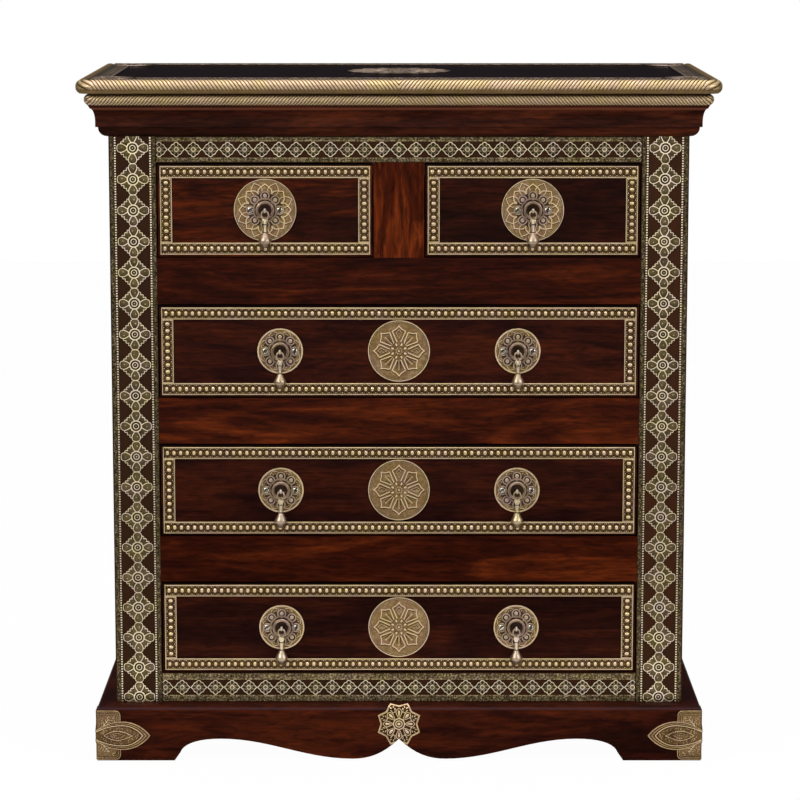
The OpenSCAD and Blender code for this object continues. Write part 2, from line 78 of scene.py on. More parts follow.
def newMaterial(name):
    mat = bpy.data.materials.new(name)
    mat.use_nodes = True
    materials[name] = mat
    return mat.node_tree, mat.node_tree.nodes["Principled BSDF"]


def addRamp(tree, source, stops):
    # Stops are pairs of a place and a colour, or a single number for a grey
    ramp = tree.nodes.new("ShaderNodeValToRGB")
    while len(ramp.color_ramp.elements) < len(stops):
        ramp.color_ramp.elements.new(0.5)
    for element, (place, colour) in zip(ramp.color_ramp.elements, stops):
        element.position = place
        element.color = (*(colour if isinstance(colour, tuple) else (colour,) * 3), 1)
    tree.links.new(source, ramp.inputs["Fac"])
    return ramp.outputs["Color"]


def addMath(tree, operation, first, second, clamp=False):
    made = tree.nodes.new("ShaderNodeMath")
    made.operation = operation
    made.use_clamp = clamp
    for socket, value in zip(made.inputs, (first, second)):
        if isinstance(value, (int, float)):
            socket.default_value = value
        else:
            tree.links.new(value, socket)
    return made.outputs[0]


def scaledFrom(tree, source, middle, factor, clamp=False):
    return addMath(tree, "MULTIPLY", addMath(tree, "SUBTRACT", source, middle), factor, clamp)


def mixColours(tree, factor, first, second, blend="MIX"):
    made = tree.nodes.new("ShaderNodeMix")
    made.data_type = "RGBA"
    made.blend_type = blend
    for name, value in (("Factor", factor), ("A", first), ("B", second)):
        socket = [s for s in made.inputs if s.name == name and (s.type == "RGBA" or name == "Factor")][0]
        if isinstance(value, (int, float)):
            socket.default_value = value
        elif isinstance(value, tuple):
            socket.default_value = (*value, 1)
        else:
            tree.links.new(value, socket)
    return [s for s in made.outputs if s.type == "RGBA"][0]


def mixShaders(tree, factor, first, second):
    made = tree.nodes.new("ShaderNodeMixShader")
    for socket, source in zip(made.inputs, (factor, first, second)):
        tree.links.new(source, socket)
    return made.outputs["Shader"]


def axisOf(tree, source, axis):
    split = tree.nodes.new("ShaderNodeSeparateXYZ")
    tree.links.new(source, split.inputs["Vector"])
    return split.outputs[axis]


def objectPlace(tree):
    return tree.nodes.new("ShaderNodeTexCoord").outputs["Object"]


def objectNoise(tree, scale, stretch=(1, 1, 1), detail=3.0, distortion=0.0, shift=(0, 0, 0)):
    mapping, noise = tree.nodes.new("ShaderNodeMapping"), tree.nodes.new("ShaderNodeTexNoise")
    setSockets(mapping, {"Location": shift, "Scale": stretch})
    setSockets(noise, {"Scale": scale, "Detail": detail, "Roughness": 0.55, "Distortion": distortion})
    tree.links.new(objectPlace(tree), mapping.inputs["Vector"])
    tree.links.new(mapping.outputs["Vector"], noise.inputs["Vector"])
    return noise.outputs["Fac"]


def finishLook(tree, shader, colour, rough, height, strength, distance):
    # Links colour and roughness, and a bump of the given height
    bump = tree.nodes.new("ShaderNodeBump")
    setSockets(bump, {"Strength": strength, "Distance": distance})
    for source, socket in ((colour, shader.inputs["Base Color"]), (rough, shader.inputs["Roughness"]),
                           (height, bump.inputs["Height"]), (bump.outputs["Normal"], shader.inputs["Normal"])):
        tree.links.new(source, socket)


def drawnOut(grain, amount):
    # Noise is drawn out along the axes of the grain
    return tuple(amount if axis in grain else 1 for axis in "XYZ")


def lacqueredWood(name, grain, tones, figure=0.5, seed=0.0, scale=26.0, litEdge=None, tintAndShade=None):
    tree, shader = newMaterial(name)
    long, threads = drawnOut(grain, 0.17), drawnOut(grain, 0.02)
    flame = objectNoise(tree, scale, long, 6.0, 1.5, (seed, seed * 1.7, seed * 0.6))
    lines = objectNoise(tree, 210, long, 4.0, 0.9, (seed, seed * 0.4, seed * 1.3))
    clouds = objectNoise(tree, 4.2, long, 1.5, 0.6, (seed * 2, seed, seed * 3))
    fibre = objectNoise(tree, 300, threads, 3.0, 0.1, (seed, 0, seed))
    level = addMath(tree, "ADD", addMath(tree, "MULTIPLY", flame, 0.55), addMath(tree, "MULTIPLY", clouds, 0.45))
    body = addRamp(tree, level, list(zip((0.37, 0.48, 0.70 - 0.13 * figure), tones)))
    fine = addRamp(tree, fibre, [(0.36, (0.70, 0.66, 0.62)), (0.56, 1)])
    streaks = addRamp(tree, lines, [(0.37, (0.50, 0.47, 0.48)), (0.50, 1), (0.66, (1.55, 1.40, 1.15))])
    body = mixColours(tree, 0.8, body, fine, "MULTIPLY")
    body = mixColours(tree, 0.45 + 0.5 * figure, body, streaks, "MULTIPLY")
    if tintAndShade:      # a colour past a plane, a browner tone on the frame and painted shadow above the drawer fronts' top borders: its axis, place, direction, strength and colour
        axis, edge, direction, strength, tintAndShadeColour = tintAndShade
        past = scaledFrom(tree, axisOf(tree, objectPlace(tree), axis), edge, 2500 * direction, True)
        body = mixColours(tree, addMath(tree, "MULTIPLY", past, strength), body, tintAndShadeColour)
    if litEdge:      # painted highlight: an edge at this height is lighter
        height, litColour = litEdge
        rise = scaledFrom(tree, axisOf(tree, objectPlace(tree), "Z"), height - 0.003, 100, True)
        litBand = addRamp(tree, rise, [(0, 0), (0.28, 0.75), (0.45, 0.08), (1, 0.02)])
        body = mixColours(tree, litBand, body, litColour)
    setSockets(shader, {"Specular IOR Level": 0.014, "Coat Weight": 0.04, "Coat Roughness": 0.12, "Coat IOR": 1.3})
    finishLook(tree, shader, body, addRamp(tree, fibre, [(0.3, 0.42), (0.7, 0.30)]), fibre, 0.1, 0.0003)


def plainTimber(name, grain, pale, deep):
    tree, shader = newMaterial(name)
    rings = objectNoise(tree, 14, drawnOut(grain, 0.09), 3.0, 0.8)
    fibre = objectNoise(tree, 260, drawnOut(grain, 0.09 * 0.09))
    body = addRamp(tree, rings, [(0.35, deep), (0.5, pale), (0.62, deep), (0.75, pale)])
    fine = addRamp(tree, fibre, [(0.35, (0.7, 0.66, 0.62)), (0.6, 1)])
    shader.inputs["Specular IOR Level"].default_value = 0.3
    rough = addRamp(tree, fibre, [(0.3, 0.7), (0.7, 0.52)])
    finishLook(tree, shader, mixColours(tree, 0.6, body, fine, "MULTIPLY"), rough, fibre, 0.2, 0.0004)


def polishedBlack(name):
    tree, shader = newMaterial(name)
    cloud = objectNoise(tree, 5, (0.3, 1, 1), 3.0, 0.6)
    body = addRamp(tree, cloud, [(0.35, (0.0050, 0.0020, 0.0035)), (0.7, (0.0068, 0.0026, 0.0044))])
    scuffs = addRamp(tree, objectNoise(tree, 60, detail=4.0), [(0.4, 0.14), (0.7, 0.20)])
    tree.links.new(body, shader.inputs["Base Color"])
    tree.links.new(scuffs, shader.inputs["Roughness"])
    setSockets(shader, {"Specular IOR Level": 0.002, "Coat Weight": 0.002, "Coat Roughness": 0.05, "Coat IOR": 1.3})


def agedBrass(name, darkest, ground, ridge, rough, pits, patch, fine=330):
    tree, shader = newMaterial(name)
    relief = tree.nodes.new("ShaderNodeAttribute")
    relief.attribute_name = "relief"
    patches = objectNoise(tree, 55, distortion=0.5)
    grit = objectNoise(tree, 900)
    specks = objectNoise(tree, fine, detail=2.0, shift=(3, 1, 2))
    tarnish = objectNoise(tree, 38, detail=2.0, shift=(1, 4, 2))
    level = addMath(tree, "ADD", relief.outputs["Fac"], scaledFrom(tree, patches, 0.5, patch))
    level = addMath(tree, "ADD", level, scaledFrom(tree, specks, 0.5, pits), True)
    colour = addRamp(tree, level, [(0.05, darkest), (0.45, ground), (0.85, ridge)])
    warmth = addRamp(tree, tarnish, [(0.38, (1.0, 0.98, 0.74)), (0.62, (1.0, 0.94, 0.92))])
    shader.inputs["Metallic"].default_value = 1.0
    polish = addMath(tree, "MULTIPLY", level, rough[1] - rough[0])
    gritty = addMath(tree, "ADD", polish, addMath(tree, "MULTIPLY", grit, 0.16))
    dull = addMath(tree, "ADD", gritty, rough[0] - 0.06, True)
    height = addMath(tree, "ADD", specks, addMath(tree, "MULTIPLY", grit, 0.5))
    body = mixColours(tree, 1.0, colour, warmth, "MULTIPLY")
    finishLook(tree, shader, body, dull, height, 0.25 + pits * 0.3, 0.0004)


# Low relief also draws bands of painted shade beside and below some ridges, and on the rope's upper side
# Brass. The relief attribute is 0 in the hollows, where the patina stays dark, and 1 on the rubbed ridges.
# Slot, colours of hollow, ground and ridge, roughness of hollow and ridge, pits, patches, and scale of the pits
brassLooks = {
    "embossedBrass": ("embossed_brass", (0.040, 0.019, 0.008), (0.27, 0.170, 0.084), (0.76, 0.60, 0.42),
                      (0.5, 0.32), 0.4, 0.35),
    "stileBrassLook": ("embossed_brass", (0.040, 0.028, 0.014), (0.19, 0.143, 0.080), (0.97, 0.85, 0.69),
                       (0.5, 0.3), 0.3, 0.6),
    "pittedBrass": ("pitted_brass", (0.026, 0.018, 0.011), (0.145, 0.108, 0.062), (0.50, 0.41, 0.26),
                    (0.55, 0.4), 2.0, 0.5, 400),
    "castBrass": ("cast_brass", (0.030, 0.016, 0.015), (0.148, 0.096, 0.074), (0.53, 0.405, 0.335),
                  (0.54, 0.36), 0.3, 0.4),
    "ropeBrass": ("rope_brass", (0.050, 0.029, 0.012), (0.27, 0.180, 0.092), (0.66, 0.51, 0.36), (0.55, 0.46),
                  0.15, 0.25),
    "brightScrews": ("cast_brass", (0.030, 0.024, 0.022), (0.30, 0.27, 0.25), (0.66, 0.62, 0.58), (0.45, 0.32),
                     0.1, 0.1),
    "pendantBrass": ("cast_brass", (0.032, 0.020, 0.014), (0.25, 0.178, 0.120), (0.92, 0.78, 0.62), (0.5, 0.3),
                     0.2, 0.3),
    "inlayBrass": ("inlay_brass", (0.026, 0.016, 0.013), (0.10, 0.066, 0.056), (0.42, 0.33, 0.29), (0.5, 0.36),
                   0.6, 0.4),
}
for name, look in brassLooks.items():
    agedBrass(name, *look[1:])

# Lacquered wood: axes of the grain, then dark, middle and warm tone, how much of it is figured, and a seed
lacquer = ((0.0130, 0.0020, 0.0010), (0.0310, 0.0046, 0.0013), (0.0960, 0.0160, 0.0030))
centreTones = ((0.0185, 0.0024, 0.0004), (0.052, 0.0068, 0.0008), (0.145, 0.0255, 0.0042))
corniceTones = ((0.014, 0.0036, 0.0020), (0.0300, 0.0070, 0.0036), (0.075, 0.0165, 0.0060))
plinthTones = ((0.0100, 0.0018, 0.0010), (0.0190, 0.0030, 0.0013), (0.0500, 0.0085, 0.0024))
panelLooks = {
    "left": (((0.0115, 0.0025, 0.0012), (0.0240, 0.0044, 0.0017), (0.098, 0.0150, 0.0024)), 0.6, 2.7),
    "right": (((0.0105, 0.0022, 0.0012), (0.0200, 0.0038, 0.0017), (0.070, 0.0120, 0.0028)), 0.5, 3.4),
    "upper": (((0.0098, 0.0020, 0.0013), (0.0142, 0.0026, 0.0017), (0.0470, 0.0084, 0.0026)), 0.40, 1.3),
    "middle": (((0.0078, 0.0018, 0.0014), (0.0122, 0.0025, 0.0018), (0.0400, 0.0074, 0.0026)), 0.38, 6.1),
    "lower": (((0.0098, 0.0024, 0.0016), (0.0160, 0.0033, 0.0021), (0.0440, 0.0088, 0.0030)), 0.36, 8.3),
}
between = ("Y", (chest["face"] + 0.4) / 1000, -1, 0.85, (0.0280, 0.0122, 0.0054))      # browner between the brass
for axis in "XZ":
    lacqueredWood("lacquer" + axis, axis, lacquer)
    lacqueredWood("frame" + axis, axis, lacquer, tintAndShade=between)
for name, look in panelLooks.items():
    # painted shadow: each drawer front goes near black above its top border, where the gap under the rail lies in
    # shade
    top = (drawers[name][0] + border["high"] + 0.4) / 1000
    lacqueredWood(name + "Panel", "X", *look, tintAndShade=("Z", top, 1, 1.0, (0.0045, 0.0018, 0.0014)))
lacqueredWood("centrePanel", "Z", centreTones, 0.9, 2.1, 34)
# The cornice's lip and the plinth's top edge carry a band of painted highlight
lacqueredWood("corniceWood", "XY", corniceTones, 0.45, 4.0, litEdge=(0.934, (0.19, 0.056, 0.026)))
lacqueredWood("plinthWood", "XY", plinthTones, 0.55, 5.2, litEdge=(0.0768, (0.050, 0.024, 0.027)))
for axis in "XYZ":
    plainTimber("timber" + axis, axis, (0.40, 0.235, 0.115), (0.29, 0.155, 0.068))
plainTimber("backWood", "Z", (0.075, 0.026, 0.014), (0.048, 0.016, 0.009))
polishedBlack("polishedBlack")

# Which carried-over nodes get each finish
nodeFinish = {
    "lacquerZ": ["side_panel_left", "side_panel_right"], "frameZ": ["stile_left", "stile_right"],
    "lacquerX": ["drawer_rails"], "frameX": ["top_rail", "bottom_rail"], "centrePanel": ["centre_stile"],
    "corniceWood": ["cornice"], "plinthWood": ["plinth_front", "plinth_sides"], "polishedBlack": ["top_board"],
    "pittedBrass": ["top_inlay"], "backWood": ["back_panel", "plinth_back"], "timberZ": ["corner_blocks"],
    "timberX": ["bottom_board", "top_battens"], "timberY": ["runners", "guides", "kickers", "drawer_stops"],
}
for drawer in drawers:
    nodeFinish[drawer + "Panel"] = [drawer + "_drawer_front"]
    nodeFinish["timberY"].append(drawer + "_drawer_box")
    nodeFinish["timberX"].append(drawer + "_drawer_bottom")
for finish, names in nodeFinish.items():
    for name in names:
        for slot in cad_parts[name].material_slots:
            slot.link = "DATA"
            slot.material = materials[finish]
print("wood finished")


# Sheet work: every stamped piece is drawn flat in millimetres, x right, y up, z out of the wood
def newWork():
    bm = bmesh.new()
    bm.verts.layers.float.new("relief")
    return bm


def turned(points, angle):
    c, s = math.cos(math.radians(angle)), math.sin(math.radians(angle))
    return [(x * c - y * s, x * s + y * c) for x, y in points]


def moved(points, dx, dy):
    return [(x + dx, y + dy) for x, y in points]


def mirrored(points):
    # Half an outline, given above the x axis, and its mirror image
    return [(x, -y) for x, y in points] + [(x, y) for x, y in points[::-1] if y]


def oval(across, high, count):
    angles = [2 * math.pi * i / count for i in range(count)]
    return [(across * math.cos(a), high * math.sin(a)) for a in angles]


def emboss(bm, outline, base, steps):
    # A closed island: the outline is raised from base, then stepped inwards by (inset, rise) pairs;
    # a third value fixes the relief shade of that step
    layer = bm.verts.layers.float["relief"]
    face = bm.faces.new([bm.verts.new((x, y, base)) for x, y in outline])
    face.normal_update()
    if face.normal.z < 0:
        face.normal_flip()
    made = bmesh.ops.extrude_face_region(bm, geom=[face])["geom"]
    top = [g for g in made if isinstance(g, bmesh.types.BMFace)][0]
    if face.is_valid:
        face.normal_flip()
    top.normal_update()
    for inset, rise, *tone in steps:
        if inset:
            before = [loop.vert.co.copy() for loop in top.loops]
            bmesh.ops.inset_region(bm, faces=[top], thickness=inset, depth=rise, use_even_offset=True)
            for old, loop in zip(before, top.loops):      # a sharp tip would shoot across the shape
                step = loop.vert.co.xy - old.xy
                if step.length > 1.9 * inset:
                    loop.vert.co.xy = old.xy + step * (1.9 * inset / step.length)
        else:
            bmesh.ops.translate(bm, vec=(0, 0, rise), verts=top.verts)
        for v in top.verts:
            v[layer] = 2 + tone[0] if tone else 0


def lathe(bm, profile, count, closed=False):
    # Spins a profile of (radius, height) pairs about the z axis
    verts = [bm.verts.new((r, 0, z)) for r, z in profile]
    edges = [bm.edges.new(pair) for pair in zip(verts, verts[1:])]
    if closed:
        edges.append(bm.edges.new((verts[-1], verts[0])))
    bmesh.ops.spin(bm, geom=verts + edges, cent=(0, 0, 0), axis=(0, 0, 1), angle=2 * math.pi, steps=count,
                   use_merge=True)
    bmesh.ops.remove_doubles(bm, verts=bm.verts, dist=0.002)
    bmesh.ops.recalc_face_normals(bm, faces=bm.faces)


def bead(bm, x, y, z, size, count=(6, 4)):
    matrix = Matrix.Translation((x, y, z)) @ Matrix.Diagonal((*size, 1))
    bmesh.ops.create_uvsphere(bm, u_segments=count[0], v_segments=count[1], radius=1, matrix=matrix)


def bar(bm, start, end, width, base, height):
    # A plain ridge from one point to another
    a, b = Vector(start), Vector(end)
    side = (b - a).normalized().orthogonal() * width / 2
    emboss(bm, [tuple(a + side), tuple(b + side), tuple(b - side), tuple(a - side)], base, [(0, height)])


def band(bm, points, width, base, height, tone, closed=True):
    # A low ridge of even width along a line of points, with sloped sides, closed into a ring or capped at its ends
    layer = bm.verts.layers.float["relief"]
    spots = [Vector(p) for p in points]
    sides = []
    for i, p in enumerate(spots):
        one = p - spots[i - 1] if closed or i else spots[1] - p
        two = spots[(i + 1) % len(spots)] - p if closed or i < len(spots) - 1 else one
        one, two = one.normalized(), two.normalized()
        normal = Vector((-(one + two).y, (one + two).x)).normalized()
        sides.append(normal * width / 2 / max(normal.dot(Vector((-one.y, one.x))), 0.6))
    rows = []
    for reach, up in ((1, 0), (0.7, 1), (-0.7, 1), (-1, 0)):
        rows.append([bm.verts.new((*(p + s * reach), base + height * up)) for p, s in zip(spots, sides)])
        for v in rows[-1]:
            v[layer] = 2 + (tone if up else tone * 0.3)
    made = []
    for j in range(4):
        for i in range(len(spots) if closed else len(spots) - 1):
            k, after = (i + 1) % len(spots), rows[(j + 1) % 4]
            made.append(bm.faces.new((rows[j][i], rows[j][k], after[k], after[i])))
    if not closed:
        made += [bm.faces.new([row[0] for row in rows]), bm.faces.new([row[-1] for row in rows[::-1]])]
    bmesh.ops.recalc_face_normals(bm, faces=made)


def petalOutline(root, widest, tip, rootHalf, half, sharp, count=5):
    # A petal that points along +x, from its root to its tip
    lower = []
    for i in range(count + 1):
        t = i / count
        lower.append((root + (widest - root) * t, rootHalf + (half - rootHalf) * math.sin(t * math.pi / 2)))
    for i in range(1, count + 1):
        t = i / count
        along = math.sin(t * math.pi / 2) if sharp < 1 else t
        lower.append((widest + (tip - widest) * along, half * math.cos(t * math.pi / 2) ** sharp))
    lower[-1] = (tip, 0)
    return mirrored(lower)


def linedPetal(bm, outline, base, ridge, line, inner, bright, shadow=1.8):
    # A petal drawn by a bright ridge on a wider band of painted shade, with a smaller copy of itself inside
    band(bm, outline, line + shadow, base, 0.3, 0.05)
    band(bm, outline, line, base, ridge, bright)
    if inner:
        middle = max(outline, key=lambda p: abs(p[1]))[0]
        small = [(middle + (x - middle) * inner, y * inner) for x, y in outline]
        band(bm, small, line * 0.6 + shadow * 0.7, base, 0.26, 0.1)
        band(bm, small, line * 0.6, base, ridge * 0.75, bright * 0.85)


def shadeRelief(bm, low, high):
    # Relief from 0 at the height low to 1 at high, apart from steps whose shade is fixed
    layer = bm.verts.layers.float["relief"]
    for v in bm.verts:
        v[layer] = v[layer] - 2 if v[layer] > 1.5 else min(max((v.co.z - low) / (high - low), 0), 1)


def shadeBy(bm, rule):
    # Relief by a rule of a vertex's distance from the z axis and its height
    layer = bm.verts.layers.float["relief"]
    for v in bm.verts:
        v[layer] = rule(math.hypot(v.co.x, v.co.y), v.co.z)


def cutAway(bm, point, normal, fill=True):
    # Cuts away what lies past a plane and closes the cut
    geom = bm.verts[:] + bm.edges[:] + bm.faces[:]
    cut = bmesh.ops.bisect_plane(bm, geom=geom, plane_co=point, plane_no=normal, clear_outer=True)
    edges = [g for g in cut["geom_cut"] if isinstance(g, bmesh.types.BMEdge) and g.is_boundary]
    if fill and edges:
        bmesh.ops.holes_fill(bm, edges=edges, sides=0)


def keep(bm, name="unit"):
    data = bpy.data.meshes.new(name)
    bm.to_mesh(data)
    bm.free()
    return data


def joinAt(bm, unit, spots):
    # Adds a copy of a finished unit at every matrix in spots
    for spot in spots:
        part = unit.copy()
        part.transform(spot)
        if spot.determinant() < 0:
            part.flip_normals()
        bm.from_mesh(part)
        bpy.data.meshes.remove(part)


def stamp(bm, work, shade=None, spots=(Matrix.Identity(4),)):
    # Shades new work from a low to a high level, and adds a copy of it at every spot
    if shade:
        shadeRelief(work, *shade)
    joinAt(bm, keep(work), spots)


def at(x, y, angle=0.0, z=0.0):
    return Matrix.Translation((x, y, z)) @ Matrix.Rotation(math.radians(angle), 4, "Z")


def ringOf(count, first=0.0, y=0.0):
    return [at(0, y, 360 / count * i + first) for i in range(count)]


def bothSides(bm):
    # The work and its mirror image across x = 0
    both = newWork()
    stamp(both, bm, None, [Matrix.Identity(4), Matrix.Scale(-1, 4, (1, 0, 0))])
    return both


def ontoFront(x, y, z):
    # Stands flat work on a face that looks towards -Y, at x, y, z in millimetres
    return Matrix(((1, 0, 0, x), (0, 0, -1, y), (0, 1, 0, z), (0, 0, 0, 1)))


def place(bm, name, matrix, material, body, replaces=(), smooth=35):
    bm.transform(Matrix.Scale(mm, 4) @ matrix)
    data = keep(bm, name)
    data.materials.append(materials[material])
    piece = bpy.data.objects.new(name, data)
    bpy.context.collection.objects.link(piece)
    data.shade_smooth()
    data.set_sharp_from_angle(angle=math.radians(smooth))
    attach(piece, body)
    if replaces:
        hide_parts(*replaces)


def placeUnits(units, *where):
    # Places a piece made of finished units, each given with its matrix
    bm = newWork()
    for unit, spot in units:
        joinAt(bm, unit, [spot])
    place(bm, *where)


# Stiles: a column of stamped flowers between two beaded wires and two edge strips
stile = {"margin": 1.6, "strip": 5.6, "gap": 0.3, "wire": 3.0, "innerMargin": 0.8, "firstFlower": 16.5,
         "pitch": 43.9, "beadPitch": 3.6, "nails": 21, "firstNail": 12, "nailPitch": 39}
flower = {"tip": 21.9, "ring": 8.0, "root": 2.0, "half": 6.1, "widest": 16.9, "bumps": 3, "bump": 2.1, "rim": 0.5,
          "lip": 0.4, "floor": 0.4, "top": 1.4, "dome": 0.5, "points": 5}


def stampedFlower():
    # A diamond: four petals, four scalloped cells and two rings, all open lattice with sunk middles
    f = flower
    floor, top, rim, ring = f["floor"], f["top"], f["rim"], f["ring"]
    half, widest, points = f["half"], f["widest"], f["points"]
    bm = newWork()
    petal = petalOutline(ring, widest, f["tip"], f["root"], half, 0.7, points)
    side = petal[:points + 1]      # from the ring out to the widest place, below the petal's middle line
    cap = petal[points:-points]    # round the tip
    edge, steps = [], f["bumps"] * 4
    start, end = Vector((widest, half)), Vector((half, widest))
    for j in range(1, steps):
        out = f["bump"] * abs(math.sin(f["bumps"] * math.pi * j / steps)) - 0.8
        edge.append(tuple(start.lerp(end, j / steps) + Vector((0.7, 0.7)) * out))
    plate = []
    for i in range(4):
        plate += turned(cap, 90 * i) + turned(edge, 90 * i)
    grown = 1 + f["lip"] / (f["tip"] - 2 * f["lip"])
    frameSteps = [(0, top - 0.25), (0.18, 0.2), (f["lip"] + rim * 0.5, 0), (0.2, floor - top - 0.1)]
    emboss(bm, [(x * grown, y * grown) for x, y in plate], 0, frameSteps)
    walls = [(0, top), (rim, 0, 1), (rim * 0.5, floor - top, 0.16)]
    low = [(x, -y) for x, y in side]
    cell = low + edge + [(y, x) for x, y in low[::-1]] + [(ring * 0.73, ring * 0.73)]
    for i in range(4):
        emboss(bm, turned(petal, 90 * i), 0, walls + [(half * 0.3, f["dome"], 0.34)])
        emboss(bm, turned(cell, 90 * i), 0, walls + [(half * 0.15, f["dome"] * 0.6, 0.26)])
    shadeRelief(bm, floor - 0.05, top)
    for i in range(8):      # a glint where the sheet was struck through
        work = newWork()
        bead(work, 16.5 if i % 2 else 15.2, (1.2, -1.6, 0.8)[i % 3], floor + 0.35, (1.3, 0.9, 0.4))
        stamp(bm, work, (floor, floor + 1.0), [at(0, 0, 45 * i)])
    hub = newWork()
    rings = ((1.03, 0), (1.03, top), (0.88, top), (0.84, floor), (0.59, floor), (0.55, top), (0.42, top),
             (0.38, floor), (0.17, floor), (0.12, floor + 0.6), (0, floor + 0.7))
    lathe(hub, [(ring * r, z) for r, z in rings], 18)
    stamp(bm, hub, (floor - 0.05, top))
    return keep(bm)


def stripWork(bm, x0, y0, x1, y1, height=1.0):
    # A thin strip of sheet with slightly rolled edges
    emboss(bm, [(x0, y0), (x1, y0), (x1, y1), (x0, y1)], 0, [(0, height - 0.25), (0.3, 0.25)])


def beadedWire(length, pitch, radius):
    # A dark band with a row of flat square beads along +y
    bm, wire = newWork(), newWork()
    bmesh.ops.create_cone(bm, cap_ends=True, cap_tris=False, segments=4, radius1=1.95, radius2=1.5, depth=0.9,
                          matrix=at(0, pitch / 2, 45, 0.7))
    for v in bm.verts:
        v.co.y = pitch / 2 + (v.co.y - pitch / 2) * 0.8
    stripWork(wire, -radius, 0, radius, length, 0.5)
    stamp(wire, bm, (0.3, 1.0), [at(0, i * pitch) for i in range(int(length / pitch))])
    return keep(wire)


def makeStiles():
    low, high, wide = chest["plinthHeight"], chest["corniceZ"], stile["strip"]
    outer = chest["halfWidth"] - stile["margin"] - wide
    inner = chest["openHalf"] + stile["innerMargin"]
    wires = (outer - stile["gap"] - stile["wire"] / 2, inner + wide + stile["gap"] + stile["wire"] / 2)
    flowers, beads, strips, nail = newWork(), newWork(), newWork(), newWork()
    count = int((high - low) / stile["pitch"]) + 2
    rows = [high - stile["firstFlower"] - i * stile["pitch"] for i in range(count)]
    joinAt(flowers, stampedFlower(), [at(sum(wires) / 2, y, 90 * (i % 4)) for i, y in enumerate(rows)])
    cutAway(flowers, (0, high - 0.2, 0), (0, 1, 0))
    cutAway(flowers, (0, low + 0.2, 0), (0, -1, 0))
    joinAt(beads, beadedWire(high - low, stile["beadPitch"], stile["wire"] / 2), [at(x, low) for x in wires])
    for x in (outer, inner):
        stripWork(strips, x, low, x + wide, high)
    shadeRelief(strips, 0.55, 2.2)
    bead(nail, 0, 0, 0.9, (0.8, 0.8, 0.45))
    nails = []
    for x in (outer, inner):
        for y in [low + stile["firstNail"] + stile["nailPitch"] * i for i in range(stile["nails"])]:
            nails.append(at(x + wide * random.uniform(0.3, 0.7), y + random.uniform(-9, 9)))
    stamp(strips, nail, (0.7, 1.3), nails)
    for work, name, finish in ((flowers, "stileFlowers", "stileBrassLook"), (beads, "stileWires", "stileBrassLook"),
                               (strips, "stileStrips", "pittedBrass")):
        place(bothSides(work), name, ontoFront(0, chest["face"], 0), finish, "case", ["stile_brass"])


# Friezes: rows give the lower edge and height of the two rails
frieze = {
    "pitch": 24.0, "field": 22.5, "margin": 1.0, "rows": ((857, 37), (80, 43)),
    "edge": ((11.9, 0), (10.4, 1.6), (9.0, 2.9), (8.3, 3.7), (7.5, 5.3), (6.2, 6.6), (4.7, 7.3), (3.6, 8.0),
             (2.8, 9.3), (1.5, 10.4)),
    "eye": ((4.2, 0.9), (5.8, 2.0), (7.6, 2.1), (9.2, 1.4), (10.7, 0)),
    "hub": ((3.5, 0), (3.5, 1.2), (3.2, 1.5), (2.3, 1.5), (2.1, 1.1), (0, 1.1)),
}


def friezeFlower():
    # A lozenge outline holding eight ringed eyes round a small hub, with dark gaps between them
    bm, hub = newWork(), newWork()
    quarter = list(frieze["edge"])
    upper = quarter + [(0, 10.7)] + [(-x, y) for x, y in quarter[::-1]]
    lower = [(x, -y) for x, y in upper[-2:0:-1]]
    emboss(bm, upper + lower, 0, [(0, 1.1, 0.85), (0.65, 0, 0.92), (0.15, -0.95, 0.03)])
    wall = [(0, 1.2, 0.6), (0.3, 0, 0.62), (0.1, -0.9, 0.0)]
    for turn in (0, 180):
        emboss(bm, turned(mirrored(frieze["eye"]), turn), 0, wall)
        emboss(bm, moved(oval(2.48, 3.1, 10), 0, 7.0 if turn else -7.0), 0, wall)
    for turn in (45, 135, 225, 315):
        emboss(bm, turned(moved(oval(2.7, 2.7, 9), 6.9, 0), turn), 0, wall)
    shadeRelief(bm, 0.2, 1.2)
    lathe(hub, frieze["hub"], 12)
    shadeBy(hub, lambda r, z: 0.72 if r > 2.2 else 0.36)
    stamp(bm, hub)
    return keep(bm)


def makeFriezes():
    unit = friezeFlower()
    flowers, strips = newWork(), newWork()
    half, margin = chest["openHalf"] - 0.5, frieze["margin"]
    count = math.ceil(chest["openHalf"] / frieze["pitch"] - 0.5)
    for low, height in frieze["rows"]:
        middle = low + height / 2
        joinAt(flowers, unit, [at(i * frieze["pitch"], middle) for i in range(-count, count + 1)])
        strip = (height - frieze["field"]) / 2 - margin
        for y in (low + margin, low + height - margin - strip):
            stripWork(strips, -half, y, half, y + strip)
            inner = y + strip - 0.9 if y < middle else y + 0.9
            bar(strips, (-half + 1, inner), (half - 1, inner), 1.1, 0.8, 0.6)
    for side in (1, -1):
        cutAway(flowers, (side * half, 0, 0), (side, 0, 0))
    shadeRelief(strips, 0.2, 2.2)
    for work, name, finish in ((flowers, "friezeFlowers", "stileBrassLook"),
                               (strips, "friezeStrips", "pittedBrass")):
        place(work, name, ontoFront(0, chest["face"], 0), finish, "case", ["frieze_brass"])


makeStiles()
makeFriezes()
print("frame brass made")


